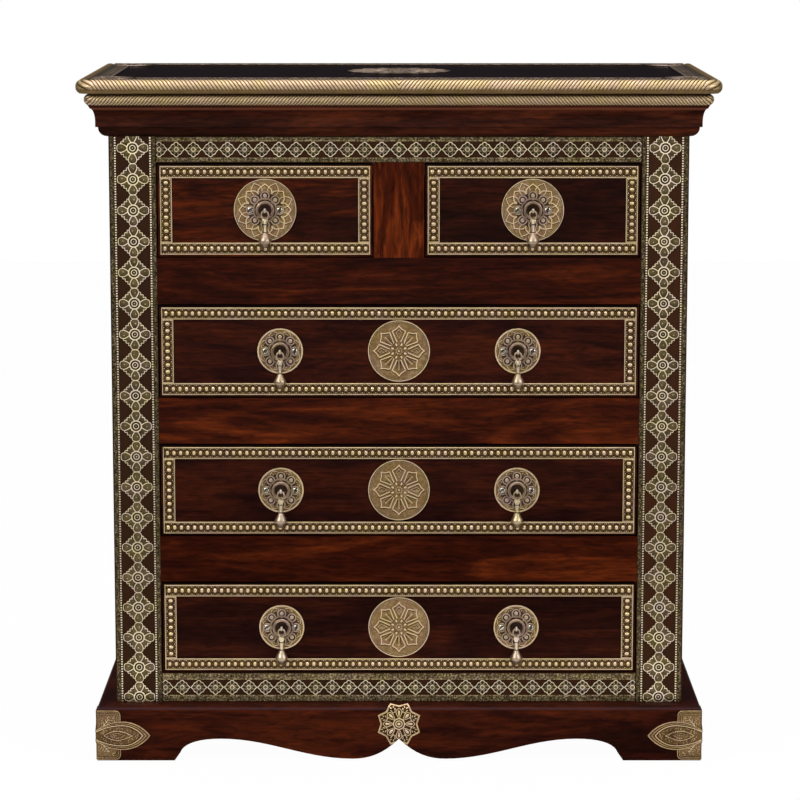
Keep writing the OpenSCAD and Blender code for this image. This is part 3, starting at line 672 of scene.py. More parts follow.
# Drawer borders: a bead row in a lattice, between two plain rims
def borderUnit():
    # One bead in a lozenge of thin ridges, with dots against the rims
    bm, work = newWork(), newWork()
    floor, half = border["floor"], border["pitch"] / 2
    reach = border["width"] / 2 - border["rim"]
    dots = ((half, reach - 1.5, 1.1), (half * 0.5, reach - 0.5, 0.65), (-half * 0.5, reach - 0.5, 0.65))
    for sy in (-1, 1):
        for sx in (-1, 1):
            bar(bm, (sx * half, 0), (sx * 0.3, sy * (reach + 0.2)), 0.75, floor - 0.2, 0.5)
        for x, y, r in dots:
            bmesh.ops.create_cone(bm, cap_ends=True, cap_tris=False, segments=5, radius1=r, radius2=r * 0.8,
                                  depth=1.3, matrix=Matrix.Translation((x, sy * y, floor + 0.3)))
    shadeRelief(bm, floor - 0.05, floor + 1.0)
    bead(work, 0, 0, floor - 0.2, border["bead"], (12, 7))
    stamp(bm, work, (floor - 0.2, floor + 0.95))
    return keep(bm)


def borderStrip(length, unit):
    # A strip of border along +x, centred on the origin
    bm = newWork()
    h, w, rim, high, floor = length / 2, border["width"] / 2, border["rim"], border["height"], border["floor"]
    emboss(bm, [(-h, -w), (h, -w), (h, w), (-h, w)], 0,
           [(0, high - 0.3, 0.45), (0.35, 0.3, 0.85), (rim - 0.7, 0, 0.78), (0.3, floor - high, 0.02)])
    shadeRelief(bm, floor, high + 0.25)
    count = round((length - 2 * rim) / border["pitch"])
    step = (length - 2 * rim) / count
    joinAt(bm, unit, [at((i - (count - 1) / 2) * step, 0) for i in range(count)])
    return keep(bm)


# Medallion: eight ogee petals in a double rim
medallion = {
    "radius": 44.0, "sheet": 0.9, "rim": 1.6, "line": 1.9, "shadow": 2.7, "below": 1.1, "ground": 0.45,
    "petal": ((12.5, 2.5), (16, 4.0), (20, 5.8), (25, 8.1), (27.3, 9.1), (28.6, 8.5), (29.6, 6.8), (31, 4.3),
              (33.2, 2.0), (35.8, 0)),
    "kite": ((17, 0), (24, 3.2), (26.4, 3.0), (30, 0)),
    # Start, end, width of the hollow and half the bud's
    "buds": ((6.6, 12.6, 5.4, 1.7), (2.6, 5.8, 2.6, 0.9)),
}


def discBase(radius, sheet, rim, ridges, ground, count):
    # A flat disc with raised rings, each (start, end) in from its edge. The field inside them keeps the
    # ground shade
    bm = newWork()
    profile = [(0, 0), (radius, 0)]
    for first, last in ridges:
        profile += [(radius - first, sheet if first else rim * 0.5), (radius - first - 0.25, rim),
                    (radius - last, rim), (radius - last - 0.25, sheet)]
    field = radius - ridges[-1][1] - 0.9
    lathe(bm, profile + [(field + 0.1, sheet), (field, sheet), (0, sheet)], count)
    shadeBy(bm, lambda r, z: ground if r < field + 0.05 else (0.78 if z > sheet + 0.1 else 0.22))
    return bm


def makeMedallion():
    # Each ridge has a band of painted shadow just below it
    m, sheet = medallion, medallion["sheet"]
    base = sheet - 0.1
    bm = discBase(m["radius"], sheet, m["rim"], [(0, 1.6), (2.8, 3.4)], m["ground"], 72)
    petal, kite = mirrored(m["petal"]), mirrored(m["kite"])
    for i in range(8):
        ridges, shadows = newWork(), newWork()
        band(shadows, petal, m["shadow"], base, 0.18, 0.02, False)
        band(ridges, petal, m["line"], base, 0.9, 0.92, False)
        if i % 2 or i == 6:
            for sy in (-1, 1):
                band(shadows, [(12.5, sy * 1.3), (24.5, sy * 3.4)], 1.2, base, 0.22, 0.05, False)
            band(ridges, [(12.5, 0), (26, 0)], 1.1, base, 0.6, 0.8, False)
            bead(ridges, 26.4, 0, sheet + 0.2, (1.3, 1.3, 0.8))
        else:
            band(shadows, kite, 1.6, base, 0.22, 0.06)
            band(ridges, kite, 1.0, base, 0.45, 0.72)
            bead(ridges, 25, 0, sheet + 0.1, (1.0, 1.0, 0.7))
        # the painted shadow sits lower than its ridge, as if the light came from above
        for work, down in ((shadows, m["below"]), (ridges, 0)):
            stamp(bm, work, (sheet, 1.75), [at(0, -down, 45 * i)])
    buds, eye = newWork(), newWork()
    for start, end, wide, narrow in m["buds"]:
        band(buds, [(start, 0), (end, 0)], wide, base, 0.16, 0.1, False)
        bud = moved(oval((end - start) * 0.42, narrow, 10), (start + end) / 2, 0)
        emboss(buds, bud, base, [(0, 0.6, 0.2), (0.35, 0.4, 1.0)])
    stamp(bm, buds, (base, 2.1), ringOf(8, 22.5))
    emboss(eye, oval(1.5, 1.5, 10), base, [(0, 0.6, 0.2), (0.3, 0.4, 1.0)])
    stamp(bm, eye, (sheet, 1.8))
    return keep(bm)


def makeDrawerBrass():
    unit, disc = borderUnit(), makeMedallion()
    low, high, wide = border["low"], border["high"], border["width"]
    for name, (level, x, opening, pulls) in drawers.items():
        width, w = opening - 2 * border["side"], wide / 2
        across, upright = borderStrip(width, unit), borderStrip(high - low - 2 * wide - 0.4, unit)
        pieces = {"DrawerBorder": [(across, at(x, level + y)) for y in (low + w, high - w)]}
        for aside in (w - width / 2, width / 2 - w):
            pieces["DrawerBorder"].append((upright, at(x + aside, level + (low + high) / 2, 90)))
        if len(pulls) > 1:
            pieces["DrawerMedallion"] = [(disc, at(x, level + border["middle"]))]
        for title, units in pieces.items():
            placeUnits(units, name + title, ontoFront(0, chest["drawerFace"], 0), "embossedBrass",
                       name + "_drawer", [name + "_drawer_brass"])


makeDrawerBrass()
print("drawer brass made")

# Pulls: a stamped disc, a cast rosette of round petals, a cup, a flat eye and two slotted screws.
# cupTones are pairs of an outer radius and the shade up to it
pull = {
    "disc": 32.5, "bigDisc": 44.0, "sheet": 1.1, "rim": 1.8, "rosette": 27.4, "petal": 6.9, "pivot": 13.5,
    "screwX": 20.8, "screwRadius": 3.9, "eyeHole": 1.6, "eyeWall": 1.9, "eyeThick": 3.2, "eyeEdge": 0.7,
    "bigPetal": ((17, 5.5), (21, 8.2), (25, 9.9), (28, 9.5), (31, 7.1), (33.8, 3.6), (36.6, 0)),
    "bigLeaf": ((23, 4.5), (28, 7.4), (33, 7.0), (37, 4.0), (40.4, 0)),
    "leaf": ((19, 3.6), (23, 6.0), (26, 5.6), (28, 3.4), (29.4, 0)),
    "base": ((0, 0), (24.2, 0), (24.2, 0.35), (18.5, 0.4), (18.5, 1.5), (17.5, 2.0), (0, 2.0)),
    "petalSteps": ((0, 2.0, 0.1), (0.5, 0.7, 0.85), (1.7, 0, 0.6), (0.3, -1.1, 0.02), (0.9, 0, 0.03),
                   (0.3, 0.7, 0.5), (0.7, 0.5, 0.95)),
    "cup": ((0, 1.0), (17.6, 1.0), (17.8, 2.8), (17.2, 3.3), (15.1, 3.4), (14.8, 2.5), (14.2, 2.5), (14.0, 3.4),
            (13.8, 5.8), (13.2, 7.0), (12.7, 7.5), (12.4, 7.9), (11.7, 8.1), (11.4, 7.7), (10.9, 7.6),
            (10.6, 7.8), (10.1, 7.5), (9.6, 6.8), (8.8, 5.9), (7.4, 4.8), (5.5, 3.9), (3.2, 3.4), (0, 3.1)),
    "cupTones": ((4.5, 0.08), (8.0, 0.14), (9.2, 0.3), (10.3, 0.8), (10.7, 1.0), (11.5, 0.45), (12.5, 1.0),
                 (13.5, 0.75), (13.95, 0.25), (14.9, 0.12), (16, 0.55), (17.5, 0.62), (18, 0.15)),
}


def pullDisc(radius):
    big, sheet = radius > 40, pull["sheet"]
    base = sheet - 0.1
    ridges = [(0, 1.2), (2.4, 3.0)] if big else [(0, 2.3)]
    bm = discBase(radius, sheet, pull["rim"], ridges, 0.45, 72 if big else 56)
    outlines = [("bigLeaf" if big else "leaf", 22.5, 0.55, 1.3 if big else 1.1)] + [("bigPetal", 0, 0.8, 1.8)] * big
    for shape, first, ridge, line in outlines:
        outline, darkest, work = mirrored(pull[shape]), newWork(), newWork()
        # a band of painted shadow, set 0.8 lower than the bright ridge drawn over it
        band(darkest, outline, line + 0.9, base, 0.15, 0.02)
        stamp(bm, darkest, (sheet, 1.9), ringOf(8, first, -0.8))
        band(work, outline, line, base, ridge, 0.85)
        x = max(outline, key=lambda p: abs(p[1]))[0]
        band(work, [(x - 3, 0), (x + 4, 0)], 0.9, base, 0.4, 0.2, False)
        for sy in (-1, 1):
            band(work, [(x - 1, sy * 2.2), (x + 2.5, sy * 1.5)], 0.8, base, 0.4, 0.7, False)
        stamp(bm, work, (sheet, 1.9), ringOf(8, first))
    return keep(bm)


def rosetteUnit():
    # The cast part of a pull, standing on the disc at z = 0: round petals, a collar over them and a cup
    bm, petal, cup = newWork(), newWork(), newWork()
    lathe(bm, pull["base"], 48)
    shadeBy(bm, lambda r, z: 0.26)
    radius = pull["petal"]
    centre = pull["rosette"] - radius
    emboss(petal, moved(oval(radius, radius, 18), centre, 0), 0, pull["petalSteps"])
    bead(petal, centre, 0, 2.4, (1.3, 1.3, 1.1), (8, 5))
    stamp(bm, petal, (2.0, 3.4), ringOf(8))
    lathe(cup, pull["cup"], 48)
    shadeBy(cup, lambda r, z: [tone for reach, tone in pull["cupTones"] if r < reach][0])
    stamp(bm, cup)
    return keep(bm)


def eyeUnit():
    # The thick eye in the y-z plane, its hole at the pivot
    bm = newWork()
    hole, half, edge = pull["eyeHole"], pull["eyeThick"] / 2, pull["eyeEdge"]
    outer = hole + pull["eyeWall"]
    lathe(bm, [(hole, -half + edge), (hole + edge, -half), (outer - edge, -half), (outer, -half + edge),
               (outer, half - edge), (outer - edge, half), (hole + edge, half), (hole, half - edge)], 24, True)
    centre = pull["pivot"] - 1.5
    bm.transform(Matrix.Rotation(math.radians(90), 4, "Y"))
    bm.transform(Matrix.Translation((0, 0, centre)))
    stem = Matrix.Diagonal((2 * half - 0.4, 2 * outer - 2.4, centre - hole - 2.0, 1))
    bmesh.ops.create_cube(bm, size=1, matrix=Matrix.Translation((0, 0, (2.0 + centre - hole) / 2)) @ stem)
    shadeBy(bm, lambda r, z: 1.0 if z > pull["pivot"] - 4 else 0.3)
    return keep(bm)


def screwUnit():
    # A slotted, domed screw head
    bm, r = newWork(), pull["screwRadius"]
    lathe(bm, [(0, 0), (4.1, 0), (4.3, 0.4), (4.0, 0.9), (0, 0.9)], 20)
    arc = [(r * math.cos(math.radians(a)), r * math.sin(math.radians(a))) for a in range(13, 168, 11)]
    for side in (0, 180):
        emboss(bm, turned(arc, side), 0.6, [(0, 0.8), (0.5, 0.4), (0.8, 0.25)])
    shadeBy(bm, lambda r, z: 1.0 if z > 1.2 else 0.02)
    return keep(bm)


# Pendant: ring, flat collar, rod and a top-shaped drop. tones are pairs of a height and the shade above it
pendantSizes = {
    "ring": 4.95, "wire": 1.2, "tall": 6.2, "collar": -15,
    "profile": ((0, -10.9), (3.0, -11.3), (4.4, -12.4), (4.5, -13.5), (3.8, -15.7), (3.1, -17.9), (2.8, -18.6),
                (2.1, -19.0), (2.1, -19.6), (2.8, -20.1), (2.5, -25.0), (2.8, -29.7), (2.0, -30.1),
                (2.0, -30.7), (3.1, -31.1), (4.3, -33.2), (6.3, -36.5), (8.1, -39.6), (8.8, -41.8),
                (8.8, -43.1), (8.3, -44.6), (7.3, -46.4), (6.4, -47.8), (5.3, -49.8), (3.8, -51.4),
                (1.8, -52.3), (0, -52.4)),
    "tones": ((-12.5, 0.55), (-18.8, 0.95), (-19.7, 0.02), (-30.0, 0.95), (-30.8, 0.02), (-31, 0.95),
              (-45.5, 0.6), (-99, 0.45)),
}


def pendantUnit():
    # Hangs along -z from the pivot
    p = pendantSizes
    bm, shank = newWork(), newWork()
    lathe(bm, moved(oval(p["wire"], p["wire"], 10), p["ring"], 0), 36, True)
    bm.transform(Matrix.Rotation(math.radians(90), 4, "X"))
    for v in bm.verts:      # the round ring becomes a longer one that narrows downwards
        ringed = Vector((v.co.x, v.co.z))
        out = ringed.length - p["ring"]
        s, c = ringed.normalized()
        normal = Vector((s / p["ring"], c / p["tall"])).normalized()
        v.co.x = (p["ring"] * s + normal.x * out) * (1 - 0.3 * max(0, -c) ** 2.5)
        v.co.z = p["tall"] * (c - 1) + normal.y * out
    lathe(shank, p["profile"], 28)
    for v in shank.verts:      # flat at the collar, so that it clears the cup
        v.co.y *= 0.5 + 0.5 * min(max((p["collar"] - v.co.z) / 6, 0), 1)
    stamp(bm, shank)
    shadeBy(bm, lambda r, z: [tone for height, tone in p["tones"] if z >= height][0])
    return keep(bm)


def makePulls():
    rosette, eye, screw = rosetteUnit(), eyeUnit(), screwUnit()
    discs = {1: pullDisc(pull["bigDisc"]), 2: pullDisc(pull["disc"])}
    pendant, away, onDisc = pendantUnit(), pull["screwX"], at(0, 0, 0, 1.5)
    eyeAndScrews = [(screw, at(-away, 0.3, 38, 4.0)), (screw, at(away, 0, 72, 4.0)), (eye, onDisc)]
    for name, (level, x, opening, spots) in drawers.items():
        body = name + "_drawer"
        for s in spots:
            side = "" if len(spots) == 1 else ("Left" if s < 0 else "Right")
            centre = (x + s, chest["drawerFace"], level + border["middle"])
            for title, finish, units in (("PullDisc", "embossedBrass", [(discs[len(spots)], at(0, 0))]),
                                         ("Pull", "castBrass", [(rosette, onDisc)]),
                                         ("EyeAndScrews", "brightScrews", eyeAndScrews)):
                placeUnits(units, name + side + title, ontoFront(*centre), finish, body, [body + "_pulls"])
            node = body + "_pendant" + (side and "_" + side.lower())
            hang = Matrix.Translation((centre[0], centre[1] - pull["pivot"], centre[2]))
            placeUnits([(pendant, at(0, 0))], name + side + "Pendant", hang, "pendantBrass", node, [node])


makePulls()
print("pulls made")

# Brass on the plinth: an eight-pointed star over the cusp and a mount round each front corner
star = {
    "tip": 33.0, "valley": 26.5, "centreZ": 54.2, "round": 6.0, "cusp": 32.0, "low": 0.75, "high": 1.6,
    "petal": ((9.2, 0.8), (12, 2.3), (16, 3.9), (18.6, 4.2), (20.8, 2.9), (22.6, 0)),
    "heart": ((10.4, 0.3), (14, 1.3), (17.4, 1.9), (19.2, 1.2), (20.0, 0)),
    "hub": ((8.7, 0.6), (8.5, 1.6), (7.2, 1.65), (6.9, 0.8), (5.5, 0.8), (5.2, 1.6), (3.9, 1.6), (3.6, 0.8),
            (2.3, 0.8), (2.0, 1.6), (0.9, 1.75), (0, 1.75)),
    "steps": ((0, 1.3, 0.5), (0.3, 0.3, 0.7), (2.2, 0, 0.55), (0.25, -0.75, 0.02), (0.3, 0, 0.03)),
    "seeds": ((18.6, 1.5, 1.7), (22.0, 2.9, 1.9), (25.4, 1.9, 1.6)),      # place and length of the tips' seeds
}


def bendOver(bm, edgeZ, radius, centreZ):
    # Bends what stands above edgeZ back round the plinth's rounded top edge (flat frame: y up, z out)
    start = edgeZ - centreZ
    for i in range(6):
        geom = bm.verts[:] + bm.edges[:] + bm.faces[:]
        bmesh.ops.bisect_plane(bm, geom=geom, plane_co=(0, start + i * 1.6, 0), plane_no=(0, 1, 0))
    for v in bm.verts:
        over = v.co.y - start
        if over > 0:
            angle = min(over / radius, math.radians(50))
            rest = over - angle * radius
            out = v.co.z
            v.co.y = start + (radius + out) * math.sin(angle) + rest * math.cos(angle)
            v.co.z = -radius + (radius + out) * math.cos(angle) - rest * math.sin(angle)


def starWork():
    shade = (star["low"], star["high"])
    bm, petal, tips, hub = newWork(), newWork(), newWork(), newWork()
    outline = []
    for i in range(15, -1, -1):
        r, angle = star["tip" if i % 2 else "valley"], math.radians(22.5 * i)
        outline.append((r * math.sin(angle), r * math.cos(angle)))
    emboss(bm, outline, 0, star["steps"])
    shadeRelief(bm, *shade)
    band(petal, mirrored(star["petal"]), 1.4, 0.75, 0.75, 0.72)
    emboss(petal, mirrored(star["heart"]), 0.7, [(0, 0.6, 0.3), (0.3, 0.3, 0.85), (0.4, 0.2, 0.95)])
    stamp(bm, petal, shade, ringOf(8))
    for x, y, long in star["seeds"]:
        for sy in (-1, 1):
            seed = moved(turned(oval(long, 0.8, 6), 32 * sy), x, sy * y)
            emboss(tips, seed, 0.7, [(0, 0.7, 0.55), (0.3, 0.15, 0.85)])
    stamp(bm, tips, shade, ringOf(8, 22.5))
    lathe(hub, star["hub"], 24)
    stamp(bm, hub, (shade[0] + 0.05, shade[1]))
    return bm


def makeStar():
    # The star is trimmed along the two sides of the apron's middle cusp, then bent over the plinth's edge
    whole, halves = starWork(), newWork()
    for side in (-1, 1):
        part = whole.copy()
        cutAway(part, (0, 0, 0), (-side, 0, 0))
        cutAway(part, (0, star["cusp"] - star["centreZ"], 0), (-side * 0.66, -0.75, 0))
        stamp(halves, part)
    whole.free()
    bendOver(halves, chest["plinthHeight"] - star["round"], star["round"], star["centreZ"])
    front = ontoFront(0, chest["plinthFace"], star["centreZ"])
    place(halves, "plinthStar", front, "embossedBrass", "case", ["plinth_rosette"])


# Corner mounts. The bands of leaf and plate are given by inset, width, height and shade
mount = {
    "length": 77.0, "lobe": 34.0, "leafHalf": 21.0, "leafX": 36.0, "leafZ": 37.0, "low": 1.5, "high": 74.0,
    "round": 7.0, "over": 1.2,
    "almond": ((10, 0), (15, 3.0), (21, 5.6), (28, 6.9), (35, 6.3), (41, 4.3), (46, 2.2), (51, 0)),
    "leafBands": ((0.8, 1.5, 0.4, 0.62), (2.2, 1.3, 0.1, 0.0), (3.5, 1.2, 0.35, 0.52), (4.8, 1.3, 0.1, 0.0),
                  (6.1, 1.2, 0.45, 0.9), (7.4, 1.4, 0.12, 0.0)),
    "plateBands": ((0.8, 1.4, 0.4, 0.6), (2.1, 1.3, 0.1, 0.0), (3.4, 1.2, 0.35, 0.52), (4.7, 1.2, 0.1, 0.0),
                   (5.7, 0.7, 0.3, 0.6), (6.6, 1.0, 0.1, 0.05)),
    "plateGrains": 30, "leafGrains": 110,
}


def leafOutline(inset=0.0, count=12):
    # The pointed leaf, from well behind the corner out to its tip
    half, widest, tip, start = mount["leafHalf"] - inset, mount["leafX"], mount["length"] - inset * 1.9, -14.0
    along = [start + (widest - start) * i / count for i in range(count + 1)]
    side = [(x, half * max(1 - 0.58 * ((widest - x) / widest) ** 2, 0.2)) for x in along]
    bow = ((tip - widest) ** 2 + half ** 2) / (2 * half)
    angles = [math.asin((tip - widest) / bow) * i / count for i in range(1, count)]
    side += [(widest + bow * math.sin(a), half - bow + bow * math.cos(a)) for a in angles]
    return mirrored(side + [(tip, 0)])


def plateOutline(inset=0.0):
    r = mount["round"] - inset * 0.7
    right, low, high = mount["lobe"] - inset, mount["low"] + inset, mount["high"] - inset
    arcs = []
    for degrees in list(range(-90, 0, 15)) + [-0.1, 0.1] + list(range(15, 91, 15)):
        a, middle = math.radians(degrees), high - r if degrees > 0 else low + r
        arcs.append((right - r + r * math.cos(a), middle + r * math.sin(a)))
    return [(-8 + inset, low)] + arcs + [(-8 + inset, high)]


def mountWork():
    # One side of a corner mount: a plate with round corners behind a pointed leaf, cut off just past the corner
    m, middle = mount, mount["leafZ"]
    bm, work = newWork(), newWork()
    emboss(bm, plateOutline(), 0, [(0, 0.85, 0.2), (0.3, 0.3, 0.34)])
    for inset, width, height, tone in m["plateBands"]:
        band(bm, plateOutline(inset), width, 1.1, height, tone)
    for sy in (-1, 1):
        stem = [(5.0, middle + sy * 10.0), (11, middle + sy * 17), (17.4, middle + sy * 24.3)]
        # each bright stem and vein lies on a wider band of painted shade
        band(bm, stem, 3.0, 1.1, 0.1, 0.02, False)
        band(bm, stem, 1.2, 1.1, 0.5, 0.85, False)
        for t in range(4):
            fx, fy = 7.0 + t * 3.0, 12.6 + t * 3.4
            for dx, dy in ((6.0, -0.6), (-0.8, 5.6)):
                vein = [(fx, middle + sy * fy), (fx + dx, middle + sy * (fy + dy))]
                band(bm, vein, 2.0, 1.05, 0.18, 0.02, False)
                band(bm, vein, 0.8, 1.05, 0.5, 0.72, False)
        for t in range(m["plateGrains"]):
            bead(bm, 1.5 + 25 * random.random(), middle + sy * (15 + 14 * random.random()), 1.2, (0.8, 0.8, 0.45))
    shadeRelief(bm, 0.9, 1.8)
    emboss(work, leafOutline(), 0, [(0, 1.7, 0.2), (0.3, 0.3, 0.34)])
    emboss(work, leafOutline(6.6), 1.9, [(0, 0.15, 0.2)])
    for inset, width, height, tone in m["leafBands"]:
        band(work, leafOutline(inset), width, 1.95, height, tone)
    linedPetal(work, mirrored(m["almond"]), 1.95, 0.5, 1.2, 0.5, 0.75)
    for t in range(m["leafGrains"]):
        x = 6 + 54 * random.random()
        bead(work, x, (random.random() - 0.5) * 26 * (1 - (abs(x - 30) / 38) ** 1.5), 2.05, (0.75, 0.75, 0.5))
    stamp(bm, work, (1.5, 3.0), [at(0, middle)])
    cutAway(bm, (-m["over"], 0, 0), (-1, 0, 0))
    return keep(bm)


def makeMounts():
    side, corner, face = mountWork(), chest["mountCorner"], chest["plinthFace"]
    ontoSide = Matrix(((0, 0, -1, -corner), (1, 0, 0, face), (0, 1, 0, 0), (0, 0, 0, 1)))
    left = newWork()
    joinAt(left, side, [ontoFront(-corner, face, 0), ontoSide])
    place(bothSides(left), "cornerMounts", Matrix.Identity(4), "embossedBrass", "case", ["corner_mounts"])


makeStar()
makeMounts()
print("plinth brass made")

# Rope edge: a large ribbed roll over a small one, wrapped round three sides. Angles are in degrees round a roll's
# section; dark gives the angle past which painted shade darkens the roll's upper side, on the front and on the
# sides
rope = {
    "upper": dict(out=7.8, z=22.5, radius=10.5, pitch=5.4, lean=-0.62, start=160, stop=-62, ribbed=(-26, 400),
                  fade=18, depth=1.15, back=-1.5, dark=(105, 70)),
    "lower": dict(out=-1.3, z=4.4, radius=8.0, pitch=4.9, lean=0.75, start=75, stop=-92, ribbed=(-400, 58),
                  fade=16, depth=1.0, back=-2.0, dark=(400, 400)),
}
ropeCorner, ropeSamples, ropeAround = 5.0, 6, 13


def alongEdge(s, out):
    # A point at distance s from the middle of the front edge and out from the core board
    half, front = chest["coreHalf"], chest["coreFront"]
    straight = half - ropeCorner
    arc = ropeCorner * math.pi / 2
    if s <= straight:
        return -s, front - out
    if s <= straight + arc:
        a, r = (s - straight) / ropeCorner, ropeCorner + out
        return -straight - r * math.sin(a), front + ropeCorner - r * math.cos(a)
    return -half - out, front + ropeCorner + (s - straight - arc)


def ropeRoll(out, z, radius, pitch, lean, start, stop, ribbed, fade, depth, back, dark):
    # Half of one roll as a tube whose rings follow the slanted ribs, cut square at the middle and the back
    bm = newWork()
    layer = bm.verts.layers.float["relief"]
    samples, around = ropeSamples, ropeAround
    straight = chest["coreHalf"] - ropeCorner
    reach = abs(lean) * radius * math.radians(start - stop) / 2
    total = straight + ropeCorner * math.pi / 2 + chest["back"] - chest["coreFront"] - ropeCorner
    rings = int((total + 2 * reach + 2 * pitch) / pitch * samples) + 1
    section = around + 2
    bmesh.ops.create_cone(bm, cap_ends=False, segments=section, radius1=1, radius2=1, depth=2)
    long = [e for e in bm.edges if abs(e.verts[0].co.z - e.verts[1].co.z) > 1]
    bmesh.ops.subdivide_edges(bm, edges=long, cuts=rings - 1, use_grid_fill=False)
    bm.verts.ensure_lookup_table()
    first = math.atan2(bm.verts[0].co.y, bm.verts[0].co.x)
    for v in bm.verts:
        column = round((v.co.z + 1) / 2 * rings)
        k = round((math.atan2(v.co.y, v.co.x) - first) / (2 * math.pi) * section) % section
        s = column / samples * pitch - reach - pitch
        if k < around:      # the seen part of the section
            degrees = start + (stop - start) * k / (around - 1)
            angle = math.radians(degrees)
            s += lean * radius * math.radians(start - degrees) - lean * reach / abs(lean)
            rib = abs(math.sin(math.pi * column / samples)) ** 0.5
            strength = min(max(min(degrees - ribbed[0], ribbed[1] - degrees) / fade, 0), 1)
            r = radius - depth * strength * (1 - rib)
            px, pz = out + r * math.cos(angle), z + r * math.sin(angle)
            shade = (1 - strength) * 0.4 + strength * (0.05 + 0.8 * rib)
            # past the angle dark, the roll's upper side gets painted shade
            v[layer] = shade * (0.3 if degrees > dark[s > straight] else 1)
        else:      # two corners against the board
            s += (1 if k == around else -1) * lean * reach / abs(lean)
            px, pz = back, z + radius * math.sin(math.radians(stop if k == around else start))
            v[layer] = 0.1
        v.co = (*alongEdge(s, px), pz)
    cutAway(bm, (0, 0, 0), (1, 0, 0), False)
    cutAway(bm, (0, chest["back"], 0), (0, 1, 0))
    bmesh.ops.mirror(bm, geom=bm.verts[:] + bm.edges[:] + bm.faces[:], axis="X", merge_dist=0.01)
    bmesh.ops.recalc_face_normals(bm, faces=bm.faces)
    return keep(bm)


def makeRope():
    rolls = [(ropeRoll(**roll), at(0, 0)) for roll in rope.values()]
    onTop = Matrix.Translation((0, 0, chest["topZ"]))
    placeUnits(rolls, "ropeEdging", onTop, "ropeBrass", "case", ["rope_edging"], 60)


makeRope()
print("rope edge made")

# Inlaid top: a pitted border with a leaf band, quarter rosettes in the corners, and a round medallion
inlay = {
    "z": 975.0, "half": 403.0, "front": -178.0, "far": 178.0, "corner": 34.0, "band": 11.0, "leafHalf": 5.4,
    "pitch": 21.0, "disc": 74.0, "petals": 16, "lines": ((1.4, 1.2), (3.4, 0.7)),
    "rings": ((0.30, 0), (0.30, 0.8), (0.27, 0.8), (0.26, 0.3), (0.2, 0.3), (0.19, 0.8), (0.16, 0.8),
              (0.14, 0.3), (0.06, 0.4), (0, 0.8)),
}


def leafUnit():
    # One leaf of the border along +x, with a bead at each side of its tip and lines beside it
    bm = newWork()
    half, pitch = inlay["leafHalf"], inlay["pitch"]
    linedPetal(bm, petalOutline(-pitch * 0.47, -1.5, pitch * 0.47, 0.9, half, 1.1, 4), 0, 0.6, 0.9, 0, 0.8, 1.2)
    bar(bm, (-pitch * 0.34, 0), (pitch * 0.24, 0), 0.6, 0, 0.65)
    for sy in (-1, 1):
        emboss(bm, moved(oval(1.6, 1.6, 8), pitch * 0.45, sy * half * 0.75), 0, [(0, 0.4, 0.3), (0.5, 0.2, 0.75)])
        bar(bm, (-pitch / 2, sy * (half + 1.4)), (pitch / 2, sy * (half + 1.4)), 0.7, 0, 0.45)
    shadeRelief(bm, 0.05, 0.7)
    return keep(bm)


def cornerUnit():
    # A round rosette, drawn whole and clipped to the corner of the border
    r = inlay["corner"] - 3
    bm, petal = discBase(r, 0.2, 0.65, [(0, 1.2), (3.0, 3.6)], 0.3, 48), newWork()
    linedPetal(petal, petalOutline(6, 17, r - 5, 1.6, 5.2, 1.1), 0.05, 0.6, 1.0, 0, 0.75, 1.4)
    stamp(bm, petal, (0.15, 0.75), ringOf(10))
    return keep(bm)


def topMedallion():
    # Two rings of pointed petals round a small rosette
    r, count, shade = inlay["disc"], inlay["petals"], (0.2, 0.8)
    bm, rings, inner, outer = newWork(), newWork(), newWork(), newWork()
    lathe(bm, [(0, 0), (r - 6, 0), (r - 6, 0.3), (0, 0.3)], 64)
    shadeRelief(bm, *shade)
    lathe(rings, [(r * share, z) for share, z in inlay["rings"]], 48)
    stamp(bm, rings, shade)
    linedPetal(inner, petalOutline(r * 0.31, r * 0.48, r * 0.66, 3.4, 7.0, 1.15), 0.1, 0.65, 1.6, 0.5, 0.95)
    stamp(bm, inner, shade, ringOf(count, 180 / count))
    petal = petalOutline(r * 0.62, r * 0.78, r - 0.5, 5.0, 10.6, 1.15)
    emboss(outer, petal, 0, [(0, 0.3, 0.4)])
    linedPetal(outer, petal, 0.05, 0.6, 1.8, 0.5, 0.95)
    stamp(bm, outer, shade, ringOf(count))
    return keep(bm)


def makeTopInlay():
    leaf, corner = leafUnit(), cornerUnit()
    half, front, far, pitch = inlay["half"], inlay["front"], inlay["far"], inlay["pitch"]
    right, near, back = half - inlay["corner"] - 2, front + inlay["corner"] + 2, far - inlay["corner"] - 2
    bm = newWork()
    for x0, y0, x1, y1, turn in ((-right, front, right, front, 0), (right, far, -right, far, 180),
                                 (half, near, half, back, 90), (-half, back, -half, near, -90)):
        start, end = Vector((x0, y0)), Vector((x1, y1))
        along = (end - start).normalized()
        out = Vector((along.y, -along.x))
        count = round((end - start).length / pitch)
        step = (end - start).length / count
        spots = [start + along * step * (i + 0.5) + out * inlay["band"] for i in range(count)]
        joinAt(bm, leaf, [at(*spot, turn) @ Matrix.Diagonal((step / pitch, 1, 1, 1)) for spot in spots])
        for offset, width in inlay["lines"]:
            edge = newWork()
            bar(edge, tuple(start + out * offset), tuple(end + out * offset), width, 0, 0.5)
            stamp(bm, edge, (-0.4, 0.7))
    joinAt(bm, corner, [at(sx * half, y) for sx in (-1, 1) for y in (front, far)])
    joinAt(bm, topMedallion(), [at(0, (chest["coreFront"] + chest["back"]) / 2)])
    for side in (1, -1):
        cutAway(bm, (side * (chest["coreHalf"] - 1), 0, 0), (side, 0, 0))
    cutAway(bm, (0, chest["coreFront"] + 1, 0), (0, -1, 0))
    place(bm, "topOrnament", Matrix.Translation((0, 0, inlay["z"] - 0.05)), "inlayBrass", "case")


makeTopInlay()
print("top inlay made")

